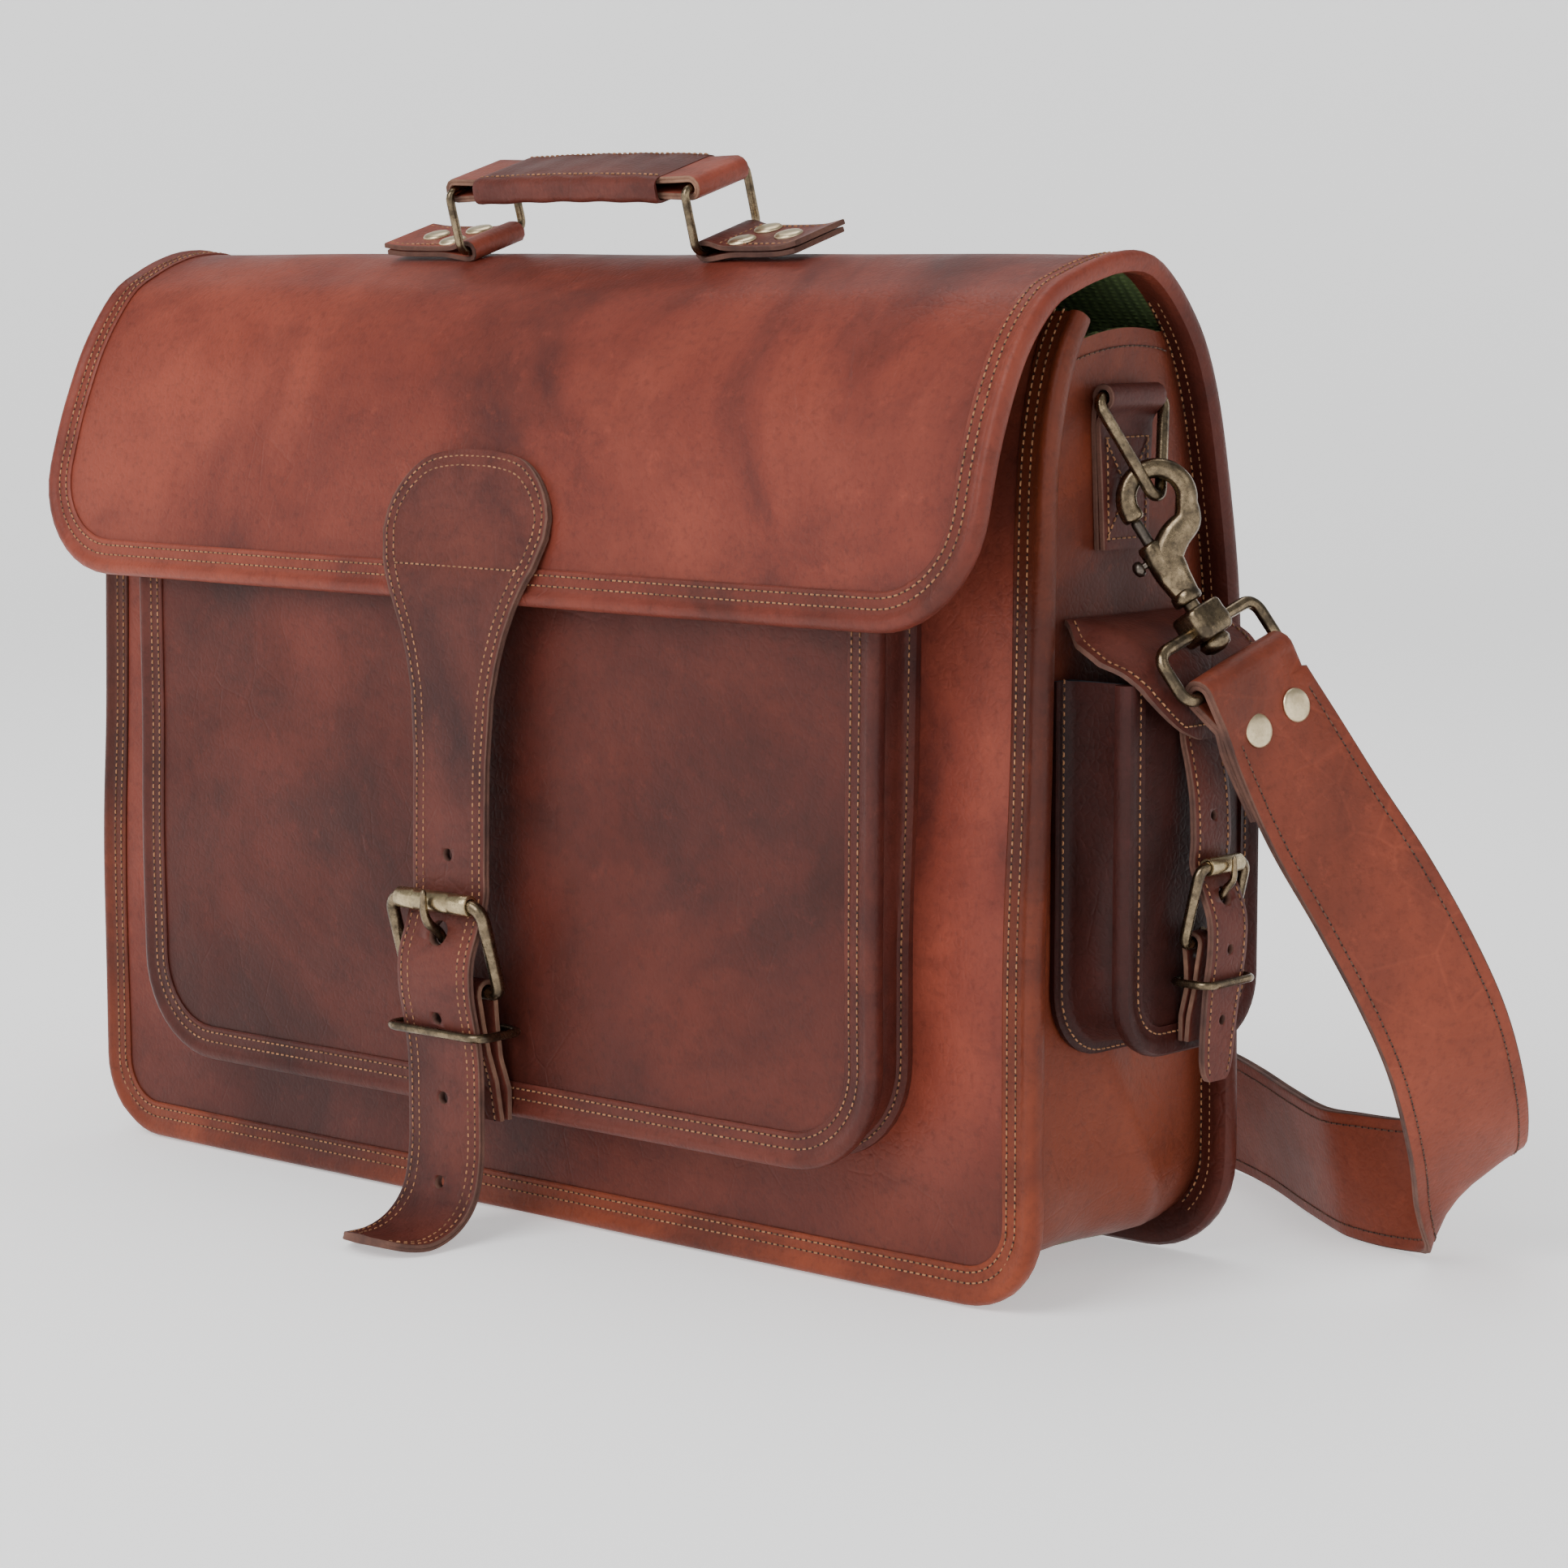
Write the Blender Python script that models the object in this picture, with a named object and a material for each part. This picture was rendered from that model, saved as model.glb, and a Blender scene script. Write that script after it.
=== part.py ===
"""A leather satchel: body, flap, front and side pockets, handle, buckles and a clip-on shoulder strap.

X runs to the right seen from the front, the front faces -Y and +Z is up. The origin is on the ground at the
middle of the base. Sizes are in millimetres and become metres when a mesh is made.
"""

import math

import bmesh
import bpy
from mathutils import Matrix, Vector

MM = 0.001
GAP = 0.3

# body
PANEL_HALF = 188.7
PANEL_THICK = 2.8
BINDING_OUT = 6.3
GUSSET_X = 187.0
GUSSET_THICK = 3.0
GUSSET_BEND = 24.0
BASE_CLEAR = 8.0
CORNER_FRONT = 18.7
CORNER_BACK = 23.0
FRONT_PROFILE = [(-29, 272), (-35, 262), (-40, 247), (-43, 226), (-44, 183), (-45, 139), (-47, 98), (-47, 50),
                 (-47, BINDING_OUT)]
HINGE = (20.9, 275.1)
DIVIDER_Y = (16.0, 22.0)
BACK_PROFILE = [(20.4, 272.8), (29, 260), (36.5, 238), (42, 210), (45, 180), (46.5, 140), (47, 90), (47, 45),
                (46.5, BINDING_OUT)]

# flap, which starts at the back's upper edge, crosses the top and falls over the front
FLAP_PROFILE = [(19.6, 273.9), (9, 283.5), (0, 287), (-11, 286.8), (-20, 284.6), (-29, 281), (-40, 274.6),
                (-52, 259), (-60.5, 240), (-66, 221), (-69.6, 204), (-72, 192.5)]
FLAP_THICK = 2.4
FLAP_CORNER = 28.0
FLAP_BINDING_OUT = 5.8
FLAP_EDGE_RISE = 0.8

# front pocket
POCKET_Y = -64.5
POCKET_HALF = 147.7
POCKET_TOP = 203.0
POCKET_BOTTOM = 39.8
POCKET_CORNER = 26.0
POCKET_THICK = 2.4
POCKET_PIPING_OUT = 5.8
POCKET_PIPING_DEEP = 5.0

# closure strap and its buckle
STRAP_WIDE = 30.0
STRAP_THICK = 3.0
STRAP_HOLES = (113.0, 65.0, 41.0, 16.0)
STRAP_HOLE_R = 2.0
PRONG_HOLE_Z = 90.2
PRONG_HOLE_R = 3.4
HEEL = (-76.0, 73.0)
ROLLER = (-83.6, 99.6)
BUCKLE_WIRE = 1.9
BUCKLE_WIDE = 38.0
KEEPER_Z = 61.0
KEEPER_HALF = 19.2
CHAPE_WIDE = 28.0
ROLLER_HALF = 14.8

# handle
RING_X = 48.7
HANDLE_TILT = math.radians(16.5)
HANDLE_BAR = (-9.5, 291.2)
HANDLE_RISE = 19.0
HANDLE_WIRE = 1.25
HANDLE_WIDE = 22.6
ANCHOR_END = 85.0
ANCHOR_TOP = 1.9
ANCHOR_RIVETS = ((58.4, -7.6), (58.4, 7.6), (73, 0))
SLEEVE_LONG = 75.0

# side pocket
SIDE_X = 211.0
SIDE_HALF = 27.0
SIDE_TOP = 173.5
SIDE_BOTTOM = 74.0
SIDE_CORNER = 14.0
SIDE_HINGE = (188.6, 188.9)
SIDE_THICK = 2.2
SIDE_PIPING_OUT = 3.6
SIDE_STRAP_WIDE = 16.5
SIDE_STRAP_THICK = 2.0
SIDE_FLAP_THICK = 1.8
SIDE_HEEL = (216.6, 101.3)
SIDE_ROLLER = (221.8, 122.8)
SIDE_WIRE = 1.5
SIDE_BUCKLE_HALF = 10.6
SIDE_ROLLER_HALF = 7.4
SIDE_CHAPE_WIDE = 14.0
SIDE_KEEPER = (212.6, 225.2, 90.8)
SIDE_STRAP_HOLES = ((136, 1.5), (114.3, 2.7), (99.8, 1.5), (80, 1.5))

# clip of the shoulder strap
TAB_Y = -4.0
RING_PIVOT = (191.6, 249.0)
RING_TILT = math.radians(19.5)
RING_LONG = 27.8
RING_HALF = 15.6
RING_POINT = 12.4
RING_APEX_R = 7.2
RING_WIRE = 1.7
HOOK_AXIS = Vector((0.496, 0.247, -0.832)).normalized()
HOOK_NORMAL = Vector((0.638, -0.752, 0.157))
HOOK_HALF_THICK = 2.1
EYE_INNER = 6.4
EYE_OUTER = 10.9
EYE_CENTRE = (7.7, 35.1)
EYE_BELOW = 1.1
BOLT_R = 1.6
BORE_R = 1.95
LOOP_WIRE = 1.8
LOOP_DROP = 17.0
LOOP_HALF = 22.0
SHOULDER_WIDE = 38.0
SHOULDER_THICK = 2.6
LOOP_WIDTH_DIR = Vector((0.03, 0.95, 0.3))
FOLD_BACK = 34.0
STRAP_BUCKLE_Y = 156.0
STRAP_BUCKLE_WIRE = 1.7
STRAP_RIVETS = (-9.5, 9.5)
STRAP_RIVET_LIFT = 1.5


# ---------------------------------------------------------------- materials

def material(name, colour, roughness, metallic=0.0):
    mat = bpy.data.materials.get(name)
    if mat:
        return mat
    mat = bpy.data.materials.new(name)
    mat.use_nodes = True
    shader = mat.node_tree.nodes["Principled BSDF"]
    shader.inputs["Base Color"].default_value = (*colour, 1.0)
    shader.inputs["Roughness"].default_value = roughness
    shader.inputs["Metallic"].default_value = metallic
    return mat


LEATHER = ("leather_red_brown", (0.17, 0.050, 0.032), 0.45)
LEATHER_TAN = ("leather_orange_brown", (0.24, 0.075, 0.030), 0.45)
LEATHER_DARK = ("leather_dark_brown", (0.060, 0.024, 0.022), 0.5)
LEATHER_STRAP = ("leather_strap", (0.20, 0.060, 0.030), 0.5)
CANVAS = ("canvas_lining", (0.035, 0.050, 0.030), 0.9)
METAL = ("antique_brass", (0.18, 0.145, 0.090), 0.35, 1.0)
RIVET_METAL = ("rivet_metal", (0.42, 0.38, 0.31), 0.35, 1.0)


# ---------------------------------------------------------------- mesh helpers

def finish(name, bm, look, pivot=(0, 0, 0), bevel=0.0):
    """Turns a bmesh in millimetres into a named object whose origin is at the pivot."""
    pivot = Vector(pivot)
    bmesh.ops.recalc_face_normals(bm, faces=bm.faces)
    bmesh.ops.translate(bm, verts=bm.verts, vec=-pivot)
    bmesh.ops.scale(bm, verts=bm.verts, vec=(MM, MM, MM))
    mesh = bpy.data.meshes.new(name)
    bm.to_mesh(mesh)
    bm.free()
    mesh.shade_smooth()
    mesh.set_sharp_from_angle(angle=math.radians(40))
    obj = bpy.data.objects.new(name, mesh)
    obj.location = pivot * MM
    bpy.context.scene.collection.objects.link(obj)
    if look:
        mesh.materials.append(material(*look))
    if bevel:
        mod = obj.modifiers.new("rounding", "BEVEL")
        mod.width = bevel * MM
        mod.segments = 2
        mod.limit_method = "ANGLE"
        mod.angle_limit = math.radians(50)
    return obj


def loft(rings, closed=False):
    """A closed skin through rings of points: capped at both ends, or joined end to start."""
    bm = bmesh.new()
    rows = [[bm.verts.new(p) for p in ring] for ring in rings]
    count = len(rows[0])
    pairs = list(zip(rows, rows[1:]))
    if closed:
        pairs.append((rows[-1], rows[0]))
    for a, b in pairs:
        for i in range(count):
            j = (i + 1) % count
            bm.faces.new((a[i], a[j], b[j], b[i]))
    if not closed:
        bm.faces.new(list(reversed(rows[0])))
        bm.faces.new(rows[-1])
    return bm


def tangents(points, closed):
    """Unit directions along a run of points."""
    last = len(points) - 1
    out = []
    for i in range(len(points)):
        if closed:
            a, b = points[i - 1], points[(i + 1) % len(points)]
        else:
            a, b = points[max(i - 1, 0)], points[min(i + 1, last)]
        out.append((b - a).normalized())
    return out


def ribbon(points, widths, thick, closed=False):
    """A flat band: widths holds one width vector, or one for each point."""
    points = [Vector(p) for p in points]
    if isinstance(widths, Vector):
        widths = [widths] * len(points)
    rings = []
    for p, t, w in zip(points, tangents(points, closed), widths):
        n = t.cross(w).normalized() * (thick / 2)
        side = w / 2
        rings.append([p - side - n, p + side - n, p + side + n, p - side + n])
    return loft(rings, closed)


def wire(points, radius, sides=8, closed=False):
    """A round rod along points that lie in one plane or nearly so."""
    points = [Vector(p) for p in points]
    ways = tangents(points, closed)
    flat = ways[0].cross(ways[len(ways) // 3])
    if flat.length < 1e-4:
        flat = ways[0].orthogonal()
    flat.normalize()
    rings = []
    for p, t in zip(points, ways):
        u = flat.cross(t).normalized()
        v = t.cross(u).normalized()
        angles = [math.tau * (k + 0.5) / sides for k in range(sides)]
        rings.append([p + (u * math.cos(a) + v * math.sin(a)) * radius for a in angles])
    return loft(rings, closed)


def smooth(points, count):
    """Points evenly spread along a smooth curve through the given points."""
    points = [Vector(p) for p in points]
    ends = [points[0] * 2 - points[1]] + points + [points[-1] * 2 - points[-2]]
    fine = []
    for a, b, c, d in zip(ends, ends[1:], ends[2:], ends[3:]):
        for k in range(16):
            t = k / 16
            fine.append(0.5 * (2 * b + (c - a) * t + (2 * a - 5 * b + 4 * c - d) * t ** 2
                               + (3 * b - 3 * c + d - a) * t ** 3))
    fine.append(points[-1])
    run = [0.0]
    for a, b in zip(fine, fine[1:]):
        run.append(run[-1] + (b - a).length)
    out = []
    k = 0
    for i in range(count):
        target = run[-1] * i / (count - 1)
        while k < len(run) - 2 and run[k + 1] < target:
            k += 1
        share = (target - run[k]) / (run[k + 1] - run[k])
        out.append(fine[k].lerp(fine[k + 1], share))
    return out


def arc(centre, radius, start, end, steps):
    """Points on a flat arc, angles in degrees."""
    out = []
    for k in range(steps + 1):
        a = math.radians(start + (end - start) * k / steps)
        out.append((centre[0] + radius * math.cos(a), centre[1] + radius * math.sin(a)))
    return out


def rounded_polygon(corners, radius, steps=3):
    """A closed flat outline whose corners are arcs."""
    out = []
    count = len(corners)
    for i in range(count):
        p = Vector(corners[i])
        a = (Vector(corners[i - 1]) - p).normalized()
        b = (Vector(corners[(i + 1) % count]) - p).normalized()
        half = math.acos(max(-1.0, min(1.0, a.dot(b)))) / 2
        r = radius[i] if isinstance(radius, (list, tuple)) else radius
        centre = p + (a + b).normalized() * (r / math.sin(half))
        first = p + a * (r / math.tan(half)) - centre
        final = p + b * (r / math.tan(half)) - centre
        turn = math.atan2(first.x * final.y - first.y * final.x, first.dot(final))
        for k in range(steps + 1):
            step = Matrix.Rotation(turn * k / steps, 2)
            out.append(centre + step @ first)
    return out


def lathe(profile, centre, axis, sides=16, closed=False):
    """A turned solid: profile holds (radius, height along the axis)."""
    axis = Vector(axis).normalized()
    u = axis.orthogonal().normalized()
    v = axis.cross(u)
    centre = Vector(centre)
    rings = []
    for r, h in profile:
        angles = [math.tau * k / sides for k in range(sides)]
        rings.append([centre + axis * h + (u * math.cos(a) + v * math.sin(a)) * r for a in angles])
    return loft(rings, closed)


def extrude(outline, place, half):
    """A flat outline extruded both ways from its plane: place maps (u, v, n) to a point."""
    return loft([[place(u, v, n) for u, v in outline] for n in (-half, half)])


def boolean(obj, cutters, how="DIFFERENCE"):
    """Cuts, or joins, helper solids that are not part of the model themselves."""
    for bm in cutters:
        tool = finish(f"{obj.name}_tool_{len(obj.modifiers)}", bm, None)
        tool.hide_render = True
        tool.display_type = "WIRE"
        mod = obj.modifiers.new("shape", "BOOLEAN")
        mod.operation = how
        mod.object = tool
    return obj


def box(low, high):
    (x0, y0, z0), (x1, y1, z1) = low, high
    return loft([[(x0, y0, z), (x1, y0, z), (x1, y1, z), (x0, y1, z)] for z in (z0, z1)])


# ---------------------------------------------------------------- sheets with bound edges

class Sheet:
    """A curved sheet, straight across X, whose lower corners are round."""

    def __init__(self, profile, half, corner, outward, steps=28):
        self.points = smooth([(0, y, z) for y, z in profile], steps)
        self.half = half
        self.corner = corner
        self.outward = outward
        self.run = [0.0]
        for a, b in zip(self.points, self.points[1:]):
            self.run.append(self.run[-1] + (b - a).length)
        self.length = self.run[-1]
        self.parts = round((self.length - corner) / 8)

    def at(self, s):
        """The surface point at distance s from the top edge, its direction and its normal."""
        s = min(max(s, 0.0), self.length)
        k = 0
        while k < len(self.run) - 2 and self.run[k + 1] < s:
            k += 1
        share = (s - self.run[k]) / (self.run[k + 1] - self.run[k])
        point = self.points[k].lerp(self.points[k + 1], share)
        near = self.points[max(k - 1, 0)], self.points[min(k + 2, len(self.points) - 1)]
        way = (near[1] - near[0]).normalized()
        normal = Vector((0, way.z, -way.y)) * self.outward
        return point, way, normal

    def solid(self, thick):
        """The sheet itself, thickened inwards."""
        straight = self.length - self.corner
        stops = [straight * k / self.parts for k in range(self.parts + 1)]
        stops += [straight + self.corner * math.sin(math.radians(a)) for a in (20, 40, 60, 75, 90)]
        rings = []
        for s in stops:
            p, _, n = self.at(s)
            drop = max(0.0, s - straight)
            half = self.half - self.corner + math.sqrt(max(0.0, self.corner ** 2 - drop ** 2))
            inner = p - n * thick
            across = Vector((half, 0, 0))
            rings.append([p - across, p + across, inner + across, inner - across])
        return loft(rings)

    def edge(self):
        """Stations round the side and lower edges: point, in-surface outward direction and normal."""
        straight = self.length - self.corner
        inset = self.half - self.corner
        flat = [(-self.half, straight * k / self.parts, 180) for k in range(self.parts + 1)]
        for cx, start, end in ((-inset, 180, 90), (inset, 90, 0)):
            turn = arc((cx, straight), self.corner, start, end, 6)
            angles = [start + (end - start) * k / 6 for k in range(7)]
            flat += [(x, s, a) for (x, s), a in zip(turn, angles)][1 if start == 180 else 0:]
        flat += [(self.half, straight * k / self.parts, 0) for k in range(self.parts - 1, -1, -1)]
        for x, s, angle in flat:
            p, way, n = self.at(s)
            a = math.radians(angle)
            out = (Vector((1, 0, 0)) * math.cos(a) + way * math.sin(a)).normalized()
            yield Vector((x, p.y, p.z)), out, n

    def binding(self, section):
        """A bar of the given section, in (outward, normal) sizes, along the edges."""
        rings = []
        for p, out, n in self.edge():
            rings.append([p + out * m + n * h for m, h in section])
        return loft(rings)


def bar_section(out, above, below):
    return [(GAP, above), (out, above), (out, -below), (GAP, -below)]


FRONT = Sheet(FRONT_PROFILE, PANEL_HALF, CORNER_FRONT, 1)
BACK = Sheet(BACK_PROFILE, PANEL_HALF, CORNER_BACK, -1)
FLAP = Sheet(FLAP_PROFILE, PANEL_HALF, FLAP_CORNER, 1, steps=48)


def y_at(profile, z, inside=0.0):
    """The Y of a profile at height z, or of the surface that far inside it."""
    for (ya, za), (yb, zb) in zip(profile, profile[1:]):
        if zb <= z <= za:
            y = ya + (yb - ya) * (za - z) / (za - zb)
            stretch = math.hypot(yb - ya, za - zb) / (za - zb)
            return y - math.copysign(inside * stretch, y)
    return profile[-1][0] - math.copysign(inside, profile[-1][0])


def front_y(z, inside=0.0):
    return y_at(FRONT_PROFILE, z, inside)


def back_y(z, inside=0.0):
    return y_at(BACK_PROFILE, z, inside)


# ---------------------------------------------------------------- body

def make_body():
    finish("front_panel", FRONT.solid(PANEL_THICK), LEATHER)
    finish("back_panel", BACK.solid(PANEL_THICK), LEATHER)
    finish("front_binding", FRONT.binding(bar_section(BINDING_OUT, 1.0, 7.0)), LEATHER_TAN)
    finish("back_binding", BACK.binding(bar_section(BINDING_OUT, 1.0, 4.0)), LEATHER_TAN)
    for side, name in ((1, "gusset_right"), (-1, "gusset_left")):
        finish(name, gusset_side(side), LEATHER)
    finish("gusset_bottom", gusset_base(), LEATHER)
    finish("lining", lining(), CANVAS)
    finish("laptop_divider", divider(), CANVAS)


def gusset_side(side):
    """A side wall that bends inwards to the base at its lower end."""
    bend = BASE_CLEAR + GUSSET_BEND
    inner_x = GUSSET_X - GUSSET_BEND
    path = [(GUSSET_X, z, 0) for z in (263.5, 240, 215, 190, 165, 140, 115, 90, 65, 45)]
    for a in (0, -18, -36, -54, -72, -90):
        t = math.radians(a)
        path.append((inner_x + GUSSET_BEND * math.cos(t), bend + GUSSET_BEND * math.sin(t), a))
    rings = []
    for i, (x, z, a) in enumerate(path):
        t = math.radians(a)
        inner = (x - GUSSET_THICK * math.cos(t), z - GUSSET_THICK * math.sin(t))
        rise = 3.5 if i == 0 else 0.0
        front = front_y(z - rise, PANEL_THICK + 2 * GAP)
        back = back_y(z + rise, PANEL_THICK + 2 * GAP)
        rings.append([(side * x, front, z - rise), (side * x, back, z + rise),
                      (side * inner[0], back, inner[1] + rise), (side * inner[0], front, inner[1] - rise)])
    return loft(rings)


def gusset_base():
    """The base strip, which sags to the ground between the bound edges."""
    half = GUSSET_X - GUSSET_BEND - GAP
    side = [(half, BASE_CLEAR), (half - 14, BASE_CLEAR - 2), (half - 32, 2.4), (half - 50, 0.4), (half - 64, 0)]
    path = side + [(0, 0)] + [(-x, z) for x, z in reversed(side)]
    wide = 39.4
    rings = []
    for x, z in path:
        top = z + GUSSET_THICK
        rings.append([(x, -wide, z), (x, wide, z), (x, wide, top), (x, -wide, top)])
    return loft(rings)


def cavity_half(z, clear):
    """Half the inside width of the body at height z."""
    bend = BASE_CLEAR + GUSSET_BEND
    radius = GUSSET_BEND - GUSSET_THICK
    inner = GUSSET_X - GUSSET_BEND
    if z >= bend:
        return inner + radius - clear
    return inner + math.sqrt(max(0.0, radius ** 2 - (bend - z) ** 2)) - clear


def lining():
    """An open-topped cloth bag just inside the leather."""
    heights = (13.5, 17, 22, 32, 60, 100, 140, 180, 220, 245, 256)
    cloth = 0.8

    def ring(z, inset):
        half = cavity_half(z, inset)
        front = front_y(z, PANEL_THICK + GAP + inset)
        back = back_y(z, PANEL_THICK + GAP + inset)
        return [(-half, front, z), (half, front, z), (half, back, z), (-half, back, z)]

    outer = [ring(z, 2 * GAP) for z in heights]
    inner = [ring(z, 2 * GAP + cloth) for z in heights]
    inner[0] = [(x, y, z + cloth) for x, y, z in inner[0]]
    return loft(outer + inner[::-1])


def divider():
    """A padded board that parts off a sleeve at the back."""
    front, back = DIVIDER_Y
    rings = []
    for z in (15.5, 20, 26, 34, 120, 215, 222):
        half = cavity_half(z, 2.4)
        thin = 1.5 if z in (15.5, 222) else 0.0
        low, high = front + thin, back - thin
        rings.append([(-half, low, z), (half, low, z), (half, high, z), (-half, high, z)])
    return loft(rings)


# ---------------------------------------------------------------- flap and closure

def make_flap():
    finish("flap", FLAP.solid(FLAP_THICK), LEATHER, pivot=(0, *HINGE))
    section = bar_section(FLAP_BINDING_OUT, FLAP_EDGE_RISE, FLAP_THICK + FLAP_EDGE_RISE)
    finish("flap_binding", FLAP.binding(section), LEATHER_DARK, pivot=(0, *HINGE))
    strap = finish("closure_strap", closure_strap(), LEATHER_DARK, pivot=(0, *HINGE))
    holes = [hole_tool(z, STRAP_HOLE_R) for z in STRAP_HOLES]
    boolean(strap, holes + [hole_tool(PRONG_HOLE_Z, PRONG_HOLE_R)])


def hole_tool(z, radius):
    return lathe([(radius, -100), (radius, -70)], (0, 0, z), (0, 1, 0), sides=12)


def closure_route():
    """The strap's middle line from the top of its keyhole end to the curled tip, in (Y, Z)."""
    on_flap = []
    for above_edge in (38.5, 32, 26, 20, 13, 7, 0):
        p, _, n = FLAP.at(FLAP.length - above_edge)
        lift = STRAP_THICK / 2 + GAP + FLAP_EDGE_RISE * max(0.0, 21 - above_edge) / 16
        on_flap.append((p.y + n.y * lift, p.z + n.z * lift))
    free = [(-76.4, 186.5), (-76.9, 174), (-77.3, 160), (-77.9, 140), (-78.3, 124), (-78.2, 110),
            (-78.1, 101), (-80.8, 92.5), (-84.3, 83), (-84.4, 73), (-82.2, 62), (-80.8, 52), (-80.6, 38),
            (-80.9, 24), (-83.2, 12), (-90, 4.2), (-100, 1.9), (-116, 1.9)]
    return on_flap + free


def closure_half(s, length):
    """Half width along the strap: a keyhole head, a neck and a tapered tip."""
    head = [(0, 9), (1.5, 17.5), (5.6, 24.5), (11.5, 30), (17, 33), (25, 33.5), (34, 31), (46, 24.6), (61, 18.6),
            (72, 16.4), (92, STRAP_WIDE / 2)]
    for (a, wa), (b, wb) in zip(head, head[1:]):
        if a <= s <= b:
            return wa + (wb - wa) * (s - a) / (b - a)
    left = length - s
    if left < 14:
        return max(5.0, STRAP_WIDE / 2 * math.sqrt(max(0.0, 1 - ((14 - left) / 15) ** 2)))
    return STRAP_WIDE / 2


def closure_strap():
    count = 78
    points = smooth([(0, y, z) for y, z in closure_route()], count)
    length = sum((b - a).length for a, b in zip(points, points[1:]))
    widths = []
    for i in range(count):
        half = closure_half(length * i / (count - 1), length)
        widths.append(Vector((2 * half, 0, 0)))
    return ribbon(points, widths, STRAP_THICK)


def make_pocket():
    """The front pocket: a face, a piped edge and a strip that stands it off the body."""
    profile = [(POCKET_Y, POCKET_TOP), (POCKET_Y, 150), (POCKET_Y - 0.5, 100), (POCKET_Y, POCKET_BOTTOM)]
    face = Sheet(profile, POCKET_HALF, POCKET_CORNER, 1, steps=12)
    finish("pocket_front", face.solid(POCKET_THICK), LEATHER)
    section = bar_section(POCKET_PIPING_OUT, 1.0, POCKET_PIPING_DEEP)
    finish("pocket_piping", face.binding(section), LEATHER_DARK)
    rings = []
    for p, out, _ in face.edge():
        base = front_y(min(max(p.z, 10), 226)) - GAP
        edge = POCKET_Y + POCKET_PIPING_DEEP + 0.5 + GAP
        shape = [(-3.5, base), (-3.5, edge), (-1.2, edge), (-1.2, base - 2.2), (3.0, base - 2.2), (3.0, base)]
        rings.append([Vector((p.x + out.x * m, y, p.z + out.z * m)) for m, y in shape])
    finish("pocket_gusset", loft(rings), LEATHER)


def folded_tab(eye, radius, near, far, thick, width):
    """A strip folded round a bar along X: near and far are the runs of its two ends, in (Y, Z)."""
    start = math.degrees(math.atan2(near[-1][1] - eye[1], near[-1][0] - eye[0]))
    end = math.degrees(math.atan2(far[0][1] - eye[1], far[0][0] - eye[0]))
    if end < start:
        end += 360
    flat = near[:-1] + arc(eye, radius, start, end, 10) + far[1:]
    return ribbon([Vector((0, y, z)) for y, z in flat], width, thick)


def make_front_buckle():
    """Heel-bar buckle with a roller, a tongue, a wire keeper and the leather that holds it."""
    bottom_back = [(-67.1, 36), (-67.1, 43), (-70.6, 53), (-72.0, 64), (HEEL[0] + 3.3, HEEL[1] - 0.5)]
    bottom_front = [(HEEL[0] - 3.3, HEEL[1] - 0.5), (-77.6, 64), (-75.4, 55), (-72.3, 46), (-70.2, 36)]
    bm = folded_tab(HEEL, BUCKLE_WIRE + 1.4, bottom_back, bottom_front, 2.0, Vector((CHAPE_WIDE, 0, 0)))
    chape = finish("buckle_chape", bm, LEATHER_DARK)
    boolean(chape, [box((-2.6, -84, 67.5), (2.6, -66, 80))])
    rise = Vector((0, ROLLER[0] - HEEL[0], ROLLER[1] - HEEL[1]))
    pivot = (0, *HEEL)
    finish("buckle_frame", frame_loop(HEEL, rise, BUCKLE_WIDE, BUCKLE_WIRE), METAL, pivot=pivot)
    inner, long = BUCKLE_WIRE + 0.3, ROLLER_HALF
    roller = [(inner, -long), (3.1, -long), (3.1, long), (inner, long)]
    finish("buckle_roller", lathe(roller, (0, *ROLLER), (1, 0, 0), closed=True), METAL, pivot=(0, *ROLLER))
    route = [(-78.0, 75.4), (-78.3, 80), (-79.3, 85.5), (-82.0, 90.2), (-86.2, 93.4), (-88.2, 97.5), (-88.4, 102.0)]
    finish("buckle_tongue", tongue(HEEL, route, 1.25, BUCKLE_WIRE + 0.35), METAL, pivot=pivot)
    front, back = -85.2, -67.6
    half = KEEPER_HALF
    corners = [(-half, front), (half, front), (half, back), (-half, back)]
    path = [Vector((x, y, KEEPER_Z)) for x, y in rounded_polygon(corners, 3.2)]
    finish("keeper_ring", wire(path, 1.4, closed=True), METAL, pivot=(0, back, KEEPER_Z))


def frame_loop(heel, rise, wide, radius):
    """A rectangular loop of wire standing on its heel bar."""
    half = wide / 2
    length = rise.length
    up = rise.normalized()
    corners = [(-half, 0), (half, 0), (half, length), (-half, length)]
    flat = rounded_polygon(corners, [2.6, 2.6, 3.4, 3.4])
    return wire([Vector((x, heel[0], heel[1])) + up * v for x, v in flat], radius, closed=True)


def tongue(heel, route, radius, eye):
    """A prong that curls round the heel bar, one bent rod."""
    centre = Vector((0, *heel))
    ring = eye + radius
    first = Vector((0, *route[0])) - centre
    start = math.atan2(first.z, first.y)
    curl = []
    for k in range(9):
        a = start - math.radians(300) * (1 - k / 9)
        curl.append(centre + Vector((0, math.cos(a), math.sin(a))) * ring)
    points = curl + smooth([(0, y, z) for y, z in route], 14)
    return wire(points, radius)


# ---------------------------------------------------------------- handle

def handle_place(x):
    """Maps (along X from x, up the tilted handle, across it) to a point."""
    across = Vector((0, math.cos(HANDLE_TILT), math.sin(HANDLE_TILT)))
    up = Vector((0, -math.sin(HANDLE_TILT), math.cos(HANDLE_TILT)))
    base = Vector((0, *HANDLE_BAR))

    def place(a, b, c=0.0):
        return base + Vector((x + a, 0, 0)) + up * b + across * c

    return place, across


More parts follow.
